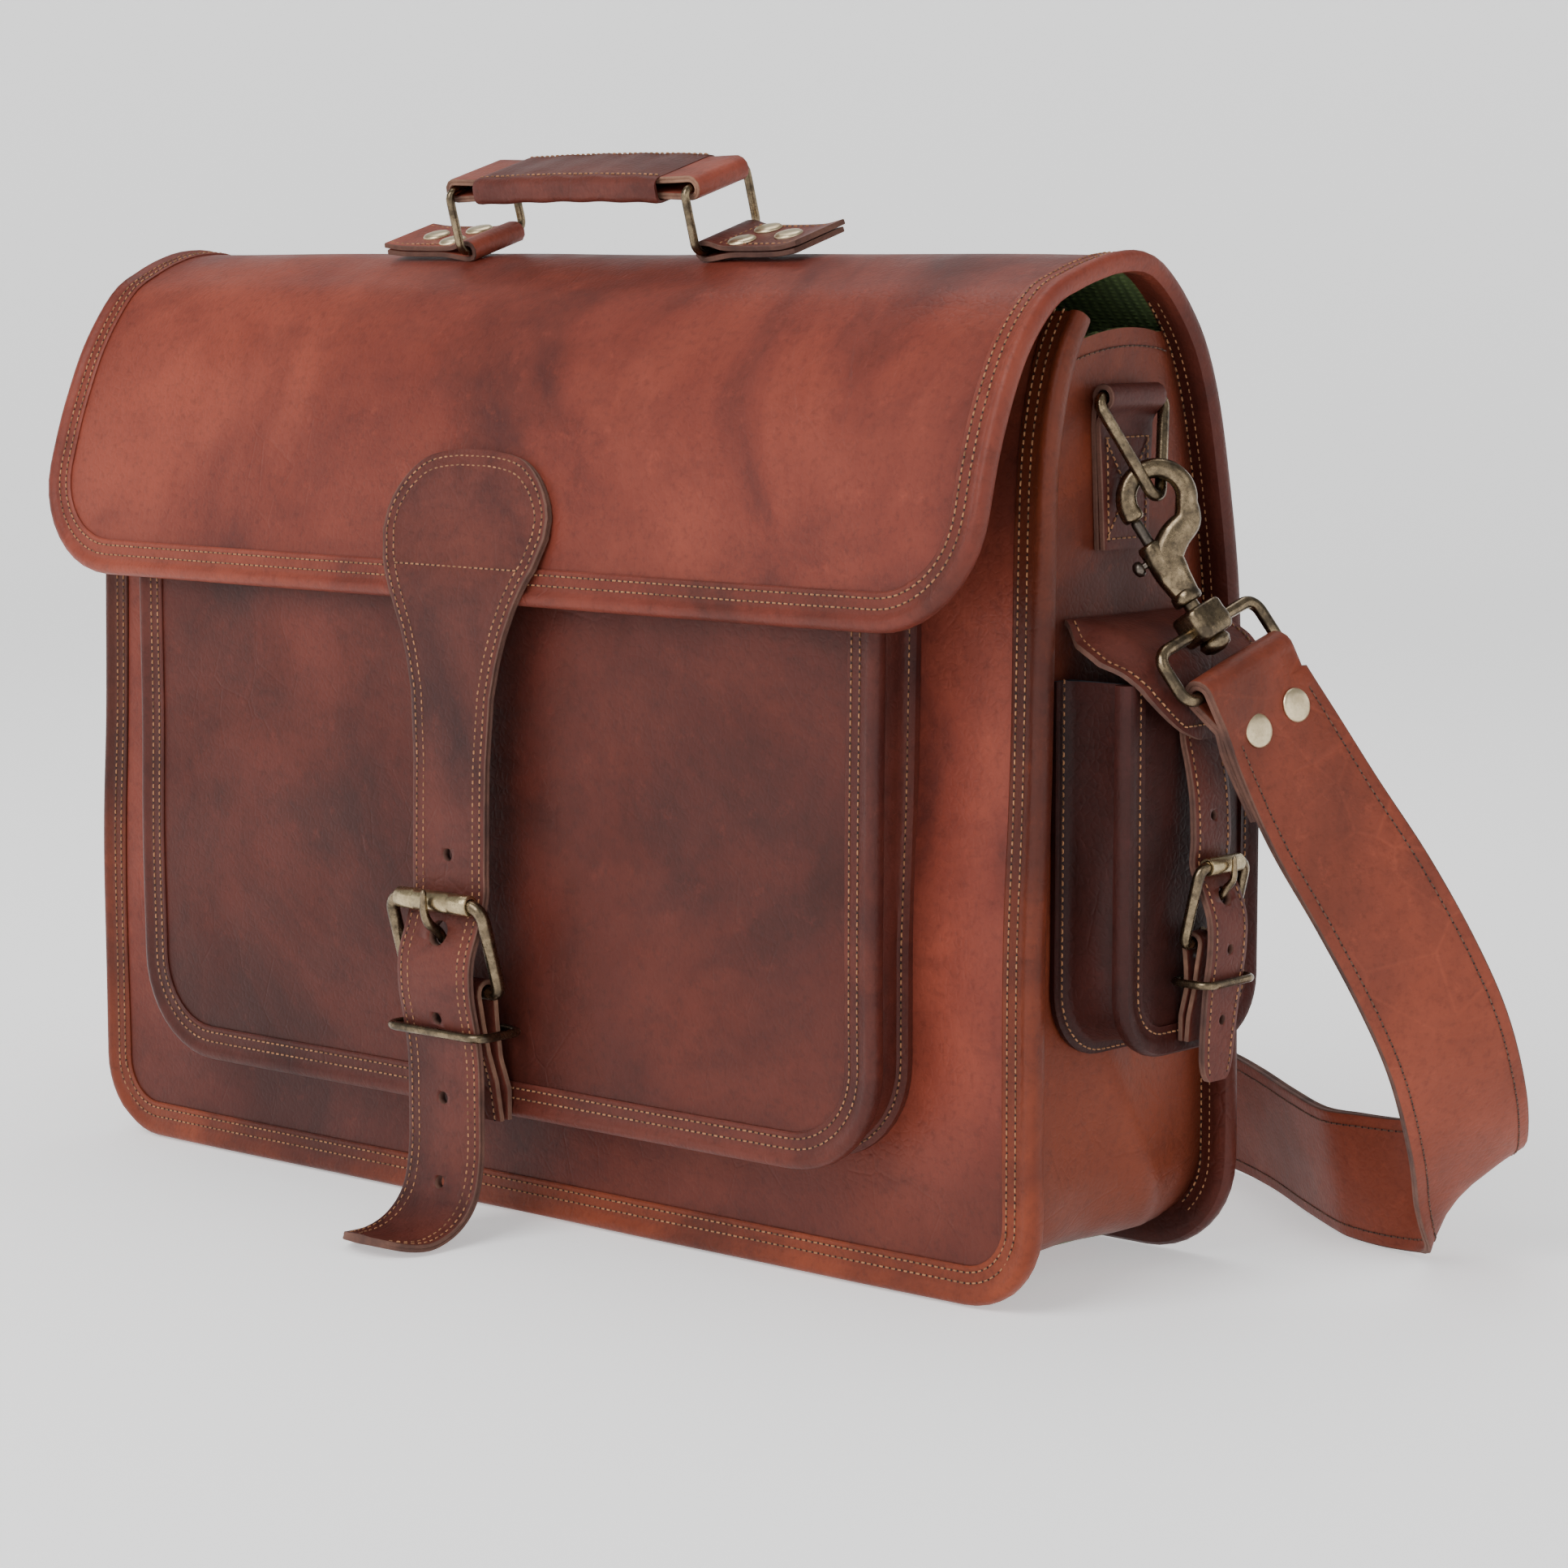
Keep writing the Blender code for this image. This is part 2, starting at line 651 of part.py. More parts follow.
def make_handle():
    place, across = handle_place(0)
    rise = HANDLE_RISE
    for side, name in ((1, "right"), (-1, "left")):
        corners = [(-13.8, 0), (13.8, 0), (13.8, rise), (-13.8, rise)]
        flat = rounded_polygon(corners, 2.2)
        loop = [place(side * RING_X, v, c) for c, v in flat]
        pivot = place(side * RING_X, 0)
        finish(f"handle_ring_{name}", wire(loop, HANDLE_WIRE, closed=True), METAL, pivot=pivot)
        finish(f"anchor_{name}", anchor(side), LEATHER_DARK)
        for i, (x, c) in enumerate(ANCHOR_RIVETS, 1):
            spot = place(side * x, ANCHOR_TOP + GAP, c)
            up = place(0, 1) - place(0, 0)
            finish(f"anchor_rivet_{name}_{i}", rivet(spot, up), RIVET_METAL)
    finish("handle_grip", grip(), LEATHER, pivot=place(-RING_X, rise))
    outline = rounded_polygon([(-14.9, -4.2), (14.9, -4.2), (14.9, 4.2), (-14.9, 4.2)], 2.0)
    loop = [place(0, rise + v, c) for c, v in outline]
    finish("handle_sleeve", ribbon(loop, Vector((SLEEVE_LONG, 0, 0)), 1.8, closed=True), LEATHER_DARK,
           pivot=place(-RING_X, rise))



def anchor(side):
    """Two layers of leather folded round the ring's lower bar and sewn flat to the top of the bag."""
    place, across = handle_place(0)
    thick = 1.6
    turn = HANDLE_WIRE + 0.45 + thick / 2
    lower = [(ANCHOR_END, -0.95), (70, -0.95), (56, -1.5), (RING_X + 0.6, -turn)]
    upper = [(RING_X + 0.6, turn), (54.0, 1.2), (60, 1.0), (ANCHOR_END - 0.5, 1.0)]
    bend = [(RING_X + turn * math.cos(math.radians(a)), turn * math.sin(math.radians(a)))
            for a in (-110, -140, -170, 170, 140, 110)]
    flat = lower + bend + upper
    return ribbon([place(side * a, b) for a, b in flat], across * HANDLE_WIDE, thick)


def rivet(spot, up, radius=4.4, height=1.1):
    dome = [(radius, 0), (radius, 0.3 * height), (0.86 * radius, 0.7 * height), (0.45 * radius, height)]
    return lathe(dome, spot, up, sides=14)


def grip():
    """One strip that runs round both rings, its ends meeting on the underside."""
    place, across = handle_place(0)
    rise = HANDLE_RISE
    thick = 2.0
    turn = HANDLE_WIRE + 0.4 + thick / 2
    bend = [math.radians(a) for a in (-100, -60, -20, 20, 60, 100)]
    right = [(RING_X + turn * math.cos(a), turn * math.sin(a)) for a in bend]
    half = [(0.8, -1.9), (18, -1.9), (38, -2.1)] + right + [(38, 2.1), (18, 1.9)]
    left = [(-x, v) for x, v in reversed(half)]
    flat = half + left
    points = [place(a, rise + b) for a, b in flat]
    return ribbon(points, across * HANDLE_WIDE, thick)


# ---------------------------------------------------------------- side pocket

def side_edge():
    """The U-shaped edge of the side pocket's face: (Y, Z, outward Y, outward Z)."""
    corner = SIDE_CORNER
    inset = SIDE_HALF - corner
    bottom = SIDE_BOTTOM + corner
    out = [(-SIDE_HALF, z, -1, 0) for z in (SIDE_TOP, 135, 110, bottom)]
    for cy, start, end in ((-inset, 180, 270), (inset, 270, 360)):
        for k in range(1 if start == 180 else 0, 6):
            a = math.radians(start + (end - start) * k / 5)
            out.append((cy + corner * math.cos(a), bottom + corner * math.sin(a), math.cos(a), math.sin(a)))
    out += [(SIDE_HALF, z, 1, 0) for z in (110, 135, SIDE_TOP)]
    return out


def make_side_pocket():
    edge = side_edge()
    outline = [(y, z) for y, z, _, _ in edge]
    face = loft([[(x, y, z) for y, z in outline] for x in (SIDE_X - SIDE_THICK, SIDE_X)])
    finish("side_pocket_front", face, LEATHER_DARK)
    piping = []
    wall = []
    for y, z, oy, oz in edge:
        piping.append([(x, y + oy * m, z + oz * m) for m, x in (
            (GAP, SIDE_X + 0.8), (SIDE_PIPING_OUT, SIDE_X + 0.8), (SIDE_PIPING_OUT, SIDE_X - 4), (GAP, SIDE_X - 4))])
        low = GUSSET_X + GAP
        wall.append([(x, y + oy * m, z + oz * m) for m, x in (
            (-2.4, low), (-2.4, SIDE_X - 4.5), (-0.4, SIDE_X - 4.5), (-0.4, low + 1.8), (4.0, low + 1.8), (4.0, low))])
    finish("side_pocket_piping", loft(piping), LEATHER_DARK)
    finish("side_pocket_gusset", loft(wall), LEATHER_DARK)
    make_side_flap()
    make_side_buckle()


def make_side_flap():
    """A tapered cover that slopes from the body over the pocket's mouth."""
    line = smooth([(188.8, 0, 188.4), (196.5, 0, 186.9), (204.2, 0, 183.4), (209.6, 0, 179.2), (213.1, 0, 174),
                   (215.1, 0, 169.4), (216.1, 0, 165), (216.8, 0, 157)], 14)
    halves = [28, 29, 30, 31, 32, 32, 31.5, 30, 28, 25.5, 22, 17.5, 12, 6]
    widths = [Vector((0, 2 * half, 0)) for half in halves]
    pivot = (SIDE_HINGE[0], 0, SIDE_HINGE[1])
    finish("side_flap", ribbon(line, widths, SIDE_FLAP_THICK), LEATHER_DARK, pivot=pivot)
    route = [(213.2, 0, 166.6), (213.2, 0, 162), (213.8, 0, 156.5), (215.4, 0, 150), (217.0, 0, 141),
             (217.6, 0, 130), (217.4, 0, 122.4), (220.8, 0, 115.3), (223.4, 0, 107.8), (223.4, 0, 99),
             (222.2, 0, 90.5), (221.0, 0, 80), (220.3, 0, 72), (220.0, 0, 64)]
    count = 34
    points = smooth(route, count)
    widths = []
    for i in range(count):
        half = SIDE_STRAP_WIDE / 2
        if i > count - 4:
            half *= (0.97, 0.85, 0.5)[i - count + 3]
        widths.append(Vector((0, 2 * half, 0)))
    strap = finish("side_strap", ribbon(points, widths, SIDE_STRAP_THICK), LEATHER_DARK, pivot=pivot)
    holes = [lathe([(r, 205), (r, 235)], (0, 0, z), (1, 0, 0), sides=12)
             for z, r in SIDE_STRAP_HOLES]
    boolean(strap, holes)


def make_side_buckle():
    hx, hz = SIDE_HEEL
    rx, rz = SIDE_ROLLER
    back = [(213.0, 74), (213.0, 81), (214.8, 88.5), (214.6, 94.8), (hx - 2.4, hz - 0.6)]
    front = [(hx + 2.4, hz - 0.6), (218.2, 94.8), (217.4, 88.5), (215.6, 81), (215.0, 74)]
    turn = arc(SIDE_HEEL, SIDE_WIRE + 0.4 + 0.8, 190, -10, 8)
    flat = back[:-1] + turn + front[1:]
    bm = ribbon([Vector((a, 0, b)) for a, b in flat], Vector((0, SIDE_CHAPE_WIDE, 0)), 1.5)
    chape = finish("side_chape", bm, LEATHER_DARK)
    boolean(chape, [box((205, -1.9, hz - 4.5), (225, 1.9, hz + 5))])
    rise = Vector((rx - hx, 0, rz - hz))
    half = SIDE_BUCKLE_HALF
    flat = rounded_polygon([(-half, 0), (half, 0), (half, rise.length), (-half, rise.length)], [2, 2, 2.8, 2.8])
    up = rise.normalized()
    loop = [Vector((hx, y, hz)) + up * v for y, v in flat]
    pivot = (hx, 0, hz)
    finish("side_buckle_frame", wire(loop, SIDE_WIRE, closed=True), METAL, pivot=pivot)
    inner, long = SIDE_WIRE + 0.3, SIDE_ROLLER_HALF
    tube = [(inner, -long), (2.5, -long), (2.5, long), (inner, long)]
    finish("side_buckle_roller", lathe(tube, (rx, 0, rz), (0, 1, 0), sides=14, closed=True), METAL,
           pivot=(rx, 0, rz))
    route = [(218.4, 103.5), (218.7, 107.3), (219.4, 111.5), (222.6, 115.9), (225.3, 119.3), (225.6, 124.5)]
    ring = SIDE_WIRE + 0.35 + 0.95
    centre = Vector((hx, 0, hz))
    first = Vector((route[0][0], 0, route[0][1])) - centre
    start = math.atan2(first.z, first.x)
    curl = []
    for k in range(9):
        a = start + math.radians(300) * (1 - k / 9)
        curl.append(centre + Vector((math.cos(a), 0, math.sin(a))) * ring)
    points = curl + smooth([(x, 0, z) for x, z in route], 12)
    finish("side_buckle_tongue", wire(points, 0.95), METAL, pivot=pivot)
    near, far, z = SIDE_KEEPER
    corners = [(near, -half), (far, -half), (far, half), (near, half)]
    path = [Vector((x, y, z)) for x, y in rounded_polygon(corners, 2.6)]
    finish("side_keeper_ring", wire(path, 1.1, closed=True), METAL, pivot=(near, 0, z))


# ---------------------------------------------------------------- shoulder strap and its clips

class Clip:
    """Where one clip hangs: side is +1 on the right, -1 on the left, mirrored in X."""

    def __init__(self, side):
        self.side = side
        self.axis = HOOK_AXIS
        self.normal = (HOOK_NORMAL - HOOK_AXIS * HOOK_NORMAL.dot(HOOK_AXIS)).normalized()
        self.right = self.normal.cross(self.axis).normalized()
        across = LOOP_WIDTH_DIR - HOOK_AXIS * LOOP_WIDTH_DIR.dot(HOOK_AXIS)
        self.across = across.normalized()
        px, pz = RING_PIVOT
        self.apex = Vector((px + RING_LONG * math.sin(RING_TILT), TAB_Y, pz - RING_LONG * math.cos(RING_TILT)))
        up = Vector((-0.102, 0.119, 0.987))
        eye = self.apex - up * EYE_BELOW
        self.block = eye - self.right * EYE_CENTRE[0] + self.axis * EYE_CENTRE[1]
        self.bar = self.block + self.axis * LOOP_DROP

    def flip(self, p):
        return Vector((p.x * self.side, p.y, p.z))

    def place(self, u, v, n=0.0):
        """A point in the hook's own frame: u across, v up its axis, n out of its flat side."""
        return self.flip(self.block + self.right * u - self.axis * v + self.normal * n)


def make_clip(clip, name):
    flip = clip.flip
    px, pz = RING_PIVOT
    pivot = flip(Vector((px, TAB_Y, pz)))
    ring_tab(clip, name)
    down = Vector((math.sin(RING_TILT), 0, -math.cos(RING_TILT)))
    corners = [(-RING_HALF, 0), (RING_HALF, 0), (0, RING_LONG + RING_POINT)]
    flat = rounded_polygon(corners, [2.2, 2.2, RING_APEX_R], steps=4)
    loop = [flip(Vector((px, TAB_Y, pz)) + Vector((0, y, 0)) + down * v) for y, v in flat]
    finish(f"side_ring_{name}", wire(loop, RING_WIRE, closed=True), METAL, pivot=pivot)
    make_hook(clip, name)
    make_loop(clip, name)


def ring_tab(clip, name):
    """A strip folded over the ring's top bar and sewn to the gusset, narrower at its lower end."""
    px, pz = RING_PIVOT
    turn = RING_WIRE + 0.4 + 0.8
    bend = [(px + turn * math.cos(math.radians(a)), pz + turn * math.sin(math.radians(a)))
            for a in (200, 160, 120, 80, 40, 0, -30)]
    inner = GUSSET_X + GAP + 0.75
    flat = [(inner, 208.5), (inner, 225), (inner + 0.1, 243)] + bend
    flat += [(inner + 2.4, 242.8), (inner + 1.8, 239), (inner + 1.8, 225), (inner + 1.8, 208.5)]
    halves = [10, 11, 12] + [12.0] * len(bend) + [12, 11.7, 11, 10]
    points = [clip.flip(Vector((x, TAB_Y, z))) for x, z in flat]
    widths = [Vector((0, 2 * h, 0)) for h in halves]
    finish(f"ring_tab_{name}", ribbon(points, widths, 1.5), LEATHER_DARK)


def make_hook(clip, name):
    """A cast hook whose open side is shut by a sliding bolt on the swivel's axis."""
    outer = arc(EYE_CENTRE, EYE_OUTER, 190, -32, 14)
    inner = arc(EYE_CENTRE, EYE_INNER, -132, 186, 16)
    outline = outer + [(10.4, 18.6), (6.2, 12.0), (4.4, 8.6), (3.6, 6.0), (-3.6, 6.0), (-4.2, 10), (-4.4, 24.4),
                       (2.4, 24.6)] + inner
    hook = finish(f"hook_{name}", extrude(outline, clip.place, HOOK_HALF_THICK), METAL)
    mod = hook.modifiers.new("rounding", "BEVEL")
    mod.width = 1.0 * MM
    mod.segments = 1
    mod.limit_method = "ANGLE"
    mod.angle_limit = math.radians(60)
    stem = [(2.3, 8.0), (2.3, -5.2), (4.0, -5.4), (4.0, -6.6), (2.6, -7.4)]
    up = clip.place(0, 1) - clip.place(0, 0)
    bore = lathe([(BORE_R, 26), (BORE_R, 10.5)], clip.place(0, 0), up, sides=12)
    slot_side = [(-9, 13.6), (0.5, 13.6), (0.5, 23.6), (-9, 23.6)]
    boolean(hook, [lathe(stem, clip.place(0, 0), up, sides=12)], "UNION")
    boolean(hook, [bore, extrude(slot_side, clip.place, 1.35)])
    bolt = finish(f"hook_bolt_{name}",
                  lathe([(1.2, 32.8), (BOLT_R, 32.2), (BOLT_R, 16.5)], clip.place(0, 0), up, sides=12), METAL)
    out = clip.place(-1, 0) - clip.place(0, 0)
    knob = lathe([(0.95, 0.3), (0.95, 5.0), (1.9, 5.1), (2.1, 6.2), (1.4, 7.2)], clip.place(0, 21.2), out, sides=10)
    boolean(bolt, [knob], "UNION")


def make_loop(clip, name):
    """The swivelling loop that holds the strap: a drilled block with a wire bow."""
    flip = clip.flip
    down = clip.axis
    block, across = clip.block, clip.across
    flat = rounded_polygon([(-LOOP_HALF, 1.5), (LOOP_HALF, 1.5), (LOOP_HALF, LOOP_DROP), (-LOOP_HALF, LOOP_DROP)],
                           2.8, steps=4)
    route = [(4.4, 1.5)] + [tuple(p) for p in flat[5:] + flat[:5]] + [(-4.4, 1.5)]
    points = [flip(block + across * u + down * v) for u, v in route]
    loop = finish(f"hook_loop_{name}", wire(points, LOOP_WIRE), METAL)
    ring = [(2.65, -3.9), (6.0, -3.9), (6.0, 4.9), (2.65, 4.9)]
    boolean(loop, [lathe(ring, flip(block), flip(down), sides=14, closed=True)], "UNION")


def strap_route():
    """Middle of the strap from the clip's bar to the ground and round behind the bag, with its width vectors."""
    return [((228.4, 12, 161), (5, 35, 14)), ((239.1, 22, 136.6), (12, 31, 18)), ((250, 31, 113.9), (17, 29, 17.5)),
            ((258.3, 41, 91), (19, 28, 17)), ((262.3, 51, 70.3), (19.5, 27.5, 17.5)),
            ((259.8, 65, 47.2), (20, 26, 19)), ((252.5, 79, 30), (20, 25, 21)), ((246.5, 85.5, 23.3), (18, 22, 25.5)),
            ((238.5, 89.5, 20), (13, 15.5, 32)), ((229, 90.5, 19.3), (8, 8, 36.5)), ((219, 89.5, 19.2), (3, 2, 37.8)),
            ((207, 90.5, 19.2), (-1.5, -2, 38)), ((196, 93.5, 19.2), (-4, -5, 37.5)),
            ((174, 109, 19.2), (-4, -5, 37.5)), ((148, 128.5, 19.4), (-3, -5, 37.6)),
            ((124, 142, 20.2), (-1, -4, 37.8)), ((94, 152, 21.4), (0, -1, 38)), ((66, 156, 22.8), (0, 0, 38))]


def strap_wrap(clip):
    """Middle of the strap round the loop's bar, from its inner side to its outer side."""
    normal = clip.axis.cross(clip.across).normalized()
    turn = LOOP_WIRE + 0.4 + SHOULDER_THICK / 2
    angles = [math.radians(a) for a in (-70, -100, -135, 180, 135, 100, 70)]
    return [clip.bar + clip.axis * (turn * math.cos(a)) + normal * (turn * math.sin(a)) for a in angles]


def strap_run(clip, count):
    """The strap from beside the bar to behind the bag: its middle points, width directions and normals."""
    normal = clip.axis.cross(clip.across).normalized() * (SHOULDER_THICK / 2 + 0.15)
    run = [(clip.bar + clip.axis * 9 + normal, clip.across)]
    for i, (p, w) in enumerate(strap_route()):
        run.append((Vector(p) + (normal if i == 0 else Vector()), Vector(w).normalized()))
    points = smooth([p for p, _ in run], count)
    marks = [0.0]
    for (a, _), (b, _) in zip(run, run[1:]):
        marks.append(marks[-1] + (b - a).length)
    widths = []
    for i in range(count):
        target = marks[-1] * i / (count - 1)
        k = 0
        while k < len(marks) - 2 and marks[k + 1] < target:
            k += 1
        share = (target - marks[k]) / (marks[k + 1] - marks[k])
        widths.append(run[k][1].lerp(run[k + 1][1], share).normalized())
    normals = [t.cross(w).normalized() for t, w in zip(tangents(points, False), widths)]
    return points, widths, normals


def strap_stations(clip, tail, count=52):
    """The whole strap: its end turned under itself, the wrap, the fall to the ground and the upright tail."""
    points, widths, normals = strap_run(clip, count)
    step = (points[1] - points[0]).length
    under = [p - n * (SHOULDER_THICK + GAP) for p, n in zip(points, normals)][:int(FOLD_BACK / step)]
    folded = list(zip(under, widths))[::-1] + [(p, clip.across) for p in strap_wrap(clip)]
    stations = folded + list(zip(points, widths)) + [(Vector(p), Vector((0, 0, 1))) for p in tail]
    return [clip.flip(p) for p, _ in stations], [clip.flip(w) * SHOULDER_WIDE for _, w in stations]


def make_shoulder_strap(right, left):
    heel_x, bar_x = -12.0, 12.0
    lift = 24.4
    mid = STRAP_BUCKLE_Y
    tail = smooth([(66, mid, 22.8), (30, mid - 2.2, lift), (bar_x, mid - 3.7, lift), (0, mid + 1.8, lift),
                   (heel_x, mid + 7.2, lift), (-30, mid + 7.0, lift - 1), (-75, mid + 6.8, lift - 4)], 34)
    points, widths = strap_stations(right, tail[1:])
    finish("shoulder_strap_long", ribbon(points, widths, SHOULDER_THICK), LEATHER_STRAP)
    turn = STRAP_BUCKLE_WIRE + 0.4 + SHOULDER_THICK / 2
    wrap = [(50, mid + 0.6, lift - 0.6), (36, mid + 1.8, lift), (24, mid + 2.7, lift)]
    for a in (85, 50, 20, -20, -50, -85):
        t = math.radians(a)
        wrap.append((-heel_x - turn * math.cos(t), STRAP_BUCKLE_Y + turn * math.sin(t), lift))
    wrap += [(24, STRAP_BUCKLE_Y - 2.7, lift), (40, STRAP_BUCKLE_Y - 2.4, lift)]
    points, widths = strap_stations(left, wrap)
    finish("shoulder_strap_short", ribbon(points, widths, SHOULDER_THICK), LEATHER_STRAP)
    corners = [(heel_x, -22), (bar_x, -22), (bar_x, 22), (heel_x, 22)]
    path = [Vector((x, STRAP_BUCKLE_Y, lift + z)) for x, z in rounded_polygon(corners, 3)]
    finish("strap_buckle", wire(path, STRAP_BUCKLE_WIRE, closed=True), METAL)
    for clip, name in ((right, "right"), (left, "left")):
        points, widths, normals = strap_run(clip, 52)
        for i, shift in enumerate(STRAP_RIVETS, 1):
            spot = points[1] + widths[1] * shift + normals[1] * (SHOULDER_THICK / 2 + STRAP_RIVET_LIFT)
            finish(f"strap_rivet_{name}_{i}", rivet(clip.flip(spot), clip.flip(normals[1])), RIVET_METAL)


def main():
    for old in list(bpy.data.objects):
        bpy.data.objects.remove(old)
    make_body()
    make_flap()
    make_pocket()
    make_front_buckle()
    make_handle()
    make_side_pocket()
    right, left = Clip(1), Clip(-1)
    make_clip(right, "right")
    make_clip(left, "left")
    make_shoulder_strap(right, left)


main()
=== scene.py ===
"""The look of a leather satchel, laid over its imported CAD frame, in millimetres until a mesh is made."""
import math

import bmesh
import bpy
import numpy as np
from mathutils import Matrix, Vector


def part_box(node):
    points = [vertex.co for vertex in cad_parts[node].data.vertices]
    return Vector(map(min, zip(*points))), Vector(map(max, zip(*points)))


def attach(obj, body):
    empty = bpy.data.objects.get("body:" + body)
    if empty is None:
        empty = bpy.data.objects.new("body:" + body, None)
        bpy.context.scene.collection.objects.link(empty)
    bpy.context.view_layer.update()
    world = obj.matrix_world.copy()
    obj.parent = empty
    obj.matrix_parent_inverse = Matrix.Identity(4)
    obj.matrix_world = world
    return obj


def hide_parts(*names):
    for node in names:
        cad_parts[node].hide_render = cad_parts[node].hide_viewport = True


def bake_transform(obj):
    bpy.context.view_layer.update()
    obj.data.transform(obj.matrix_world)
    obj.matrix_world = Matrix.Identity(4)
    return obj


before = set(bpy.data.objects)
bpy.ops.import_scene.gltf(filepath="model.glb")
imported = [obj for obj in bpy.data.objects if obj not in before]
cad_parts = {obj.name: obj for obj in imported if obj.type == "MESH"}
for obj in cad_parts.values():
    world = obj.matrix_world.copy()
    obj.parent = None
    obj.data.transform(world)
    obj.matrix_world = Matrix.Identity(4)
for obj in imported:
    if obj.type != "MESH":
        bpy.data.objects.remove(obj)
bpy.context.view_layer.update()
MM = 0.001
TAU = math.tau

# ---------------------------------------------------------------- camera

cam_data = bpy.data.cameras.new("camera")
cam_data.lens = 97.08
cam_data.sensor_width = 36.0
cam_data.clip_start = 0.05
camera = bpy.data.objects.new("camera", cam_data)
camera.location = (0.8866, -0.9312, 0.2887)
camera.rotation_euler = (math.radians(90 - 7.2054), 0.0, math.radians(41.514))
bpy.context.scene.collection.objects.link(camera)
bpy.context.scene.camera = camera


# ---------------------------------------------------------------- materials

def shader_of(name, roughness=0.5, metallic=0.0):
    mat = bpy.data.materials.new(name)
    mat.use_nodes = True
    tree = mat.node_tree
    bsdf = tree.nodes["Principled BSDF"]
    bsdf.inputs["Roughness"].default_value = roughness
    bsdf.inputs["Metallic"].default_value = metallic
    return mat, tree, bsdf


class Nodes:
    """Short calls for the few node kinds these materials use."""

    def __init__(self, tree):
        self.tree = tree
        self.where = tree.nodes.new("ShaderNodeTexCoord").outputs["Object"]

    def new(self, kind, **values):
        node = self.tree.nodes.new(kind)
        for key, value in values.items():
            setattr(node, key, value)
        return node

    def link(self, a, b):
        self.tree.links.new(a, b)

    def stretch(self, scale, turn=(0, 0, 0)):
        node = self.new("ShaderNodeMapping")
        node.inputs["Scale"].default_value = scale
        node.inputs["Rotation"].default_value = turn
        self.link(self.where, node.inputs["Vector"])
        return node.outputs["Vector"]

    def noise(self, scale, detail=4.0, rough=0.55, vector=None, warp=0.0):
        node = self.new("ShaderNodeTexNoise")
        node.inputs["Scale"].default_value = scale
        node.inputs["Detail"].default_value = detail
        node.inputs["Roughness"].default_value = rough
        node.inputs["Distortion"].default_value = warp
        self.link(vector or self.where, node.inputs["Vector"])
        return node.outputs["Fac"]

    def cells(self, scale, feature="F1", vector=None):
        node = self.new("ShaderNodeTexVoronoi", feature=feature)
        node.inputs["Scale"].default_value = scale
        self.link(vector or self.where, node.inputs["Vector"])
        return node.outputs["Distance"]

    def ramp(self, fac, stops):
        node = self.new("ShaderNodeValToRGB")
        band = node.color_ramp
        while len(band.elements) < len(stops):
            band.elements.new(0.5)
        for element, (place, colour) in zip(band.elements, stops):
            element.position = place
            if not hasattr(colour, "__len__"):
                colour = (colour, colour, colour)
            element.color = (*colour[:3], 1)
        self.link(fac, node.inputs["Fac"])
        return node.outputs["Color"]

    def mix(self, fac, a, b, blend="MIX"):
        node = self.new("ShaderNodeMix", data_type="RGBA", blend_type=blend)
        for value, socket in ((fac, node.inputs[0]), (a, node.inputs[6]), (b, node.inputs[7])):
            if isinstance(value, (int, float)):
                socket.default_value = value
            elif hasattr(value, "__len__"):
                socket.default_value = (*value[:3], 1)
            else:
                self.link(value, socket)
        return node.outputs[2]

    def math(self, how, a, b=0.0):
        node = self.new("ShaderNodeMath", operation=how)
        for value, socket in zip((a, b), node.inputs):
            if isinstance(value, (int, float)):
                socket.default_value = value
            else:
                self.link(value, socket)
        return node.outputs[0]

    def span(self, value, low, high, to_low=0.0, to_high=1.0):
        node = self.new("ShaderNodeMapRange")
        node.inputs["From Min"].default_value = low
        node.inputs["From Max"].default_value = high
        node.inputs["To Min"].default_value = to_low
        node.inputs["To Max"].default_value = to_high
        self.link(value, node.inputs["Value"])
        return node.outputs["Result"]

    def tone(self):
        node = self.new("ShaderNodeAttribute", attribute_name="tone")
        return node.outputs["Fac"]

    def bump(self, height, strength, distance, below=None):
        node = self.new("ShaderNodeBump")
        node.inputs["Strength"].default_value = strength
        node.inputs["Distance"].default_value = distance
        self.link(height, node.inputs["Height"])
        if below is not None:
            self.link(below, node.inputs["Normal"])
        return node.outputs["Normal"]


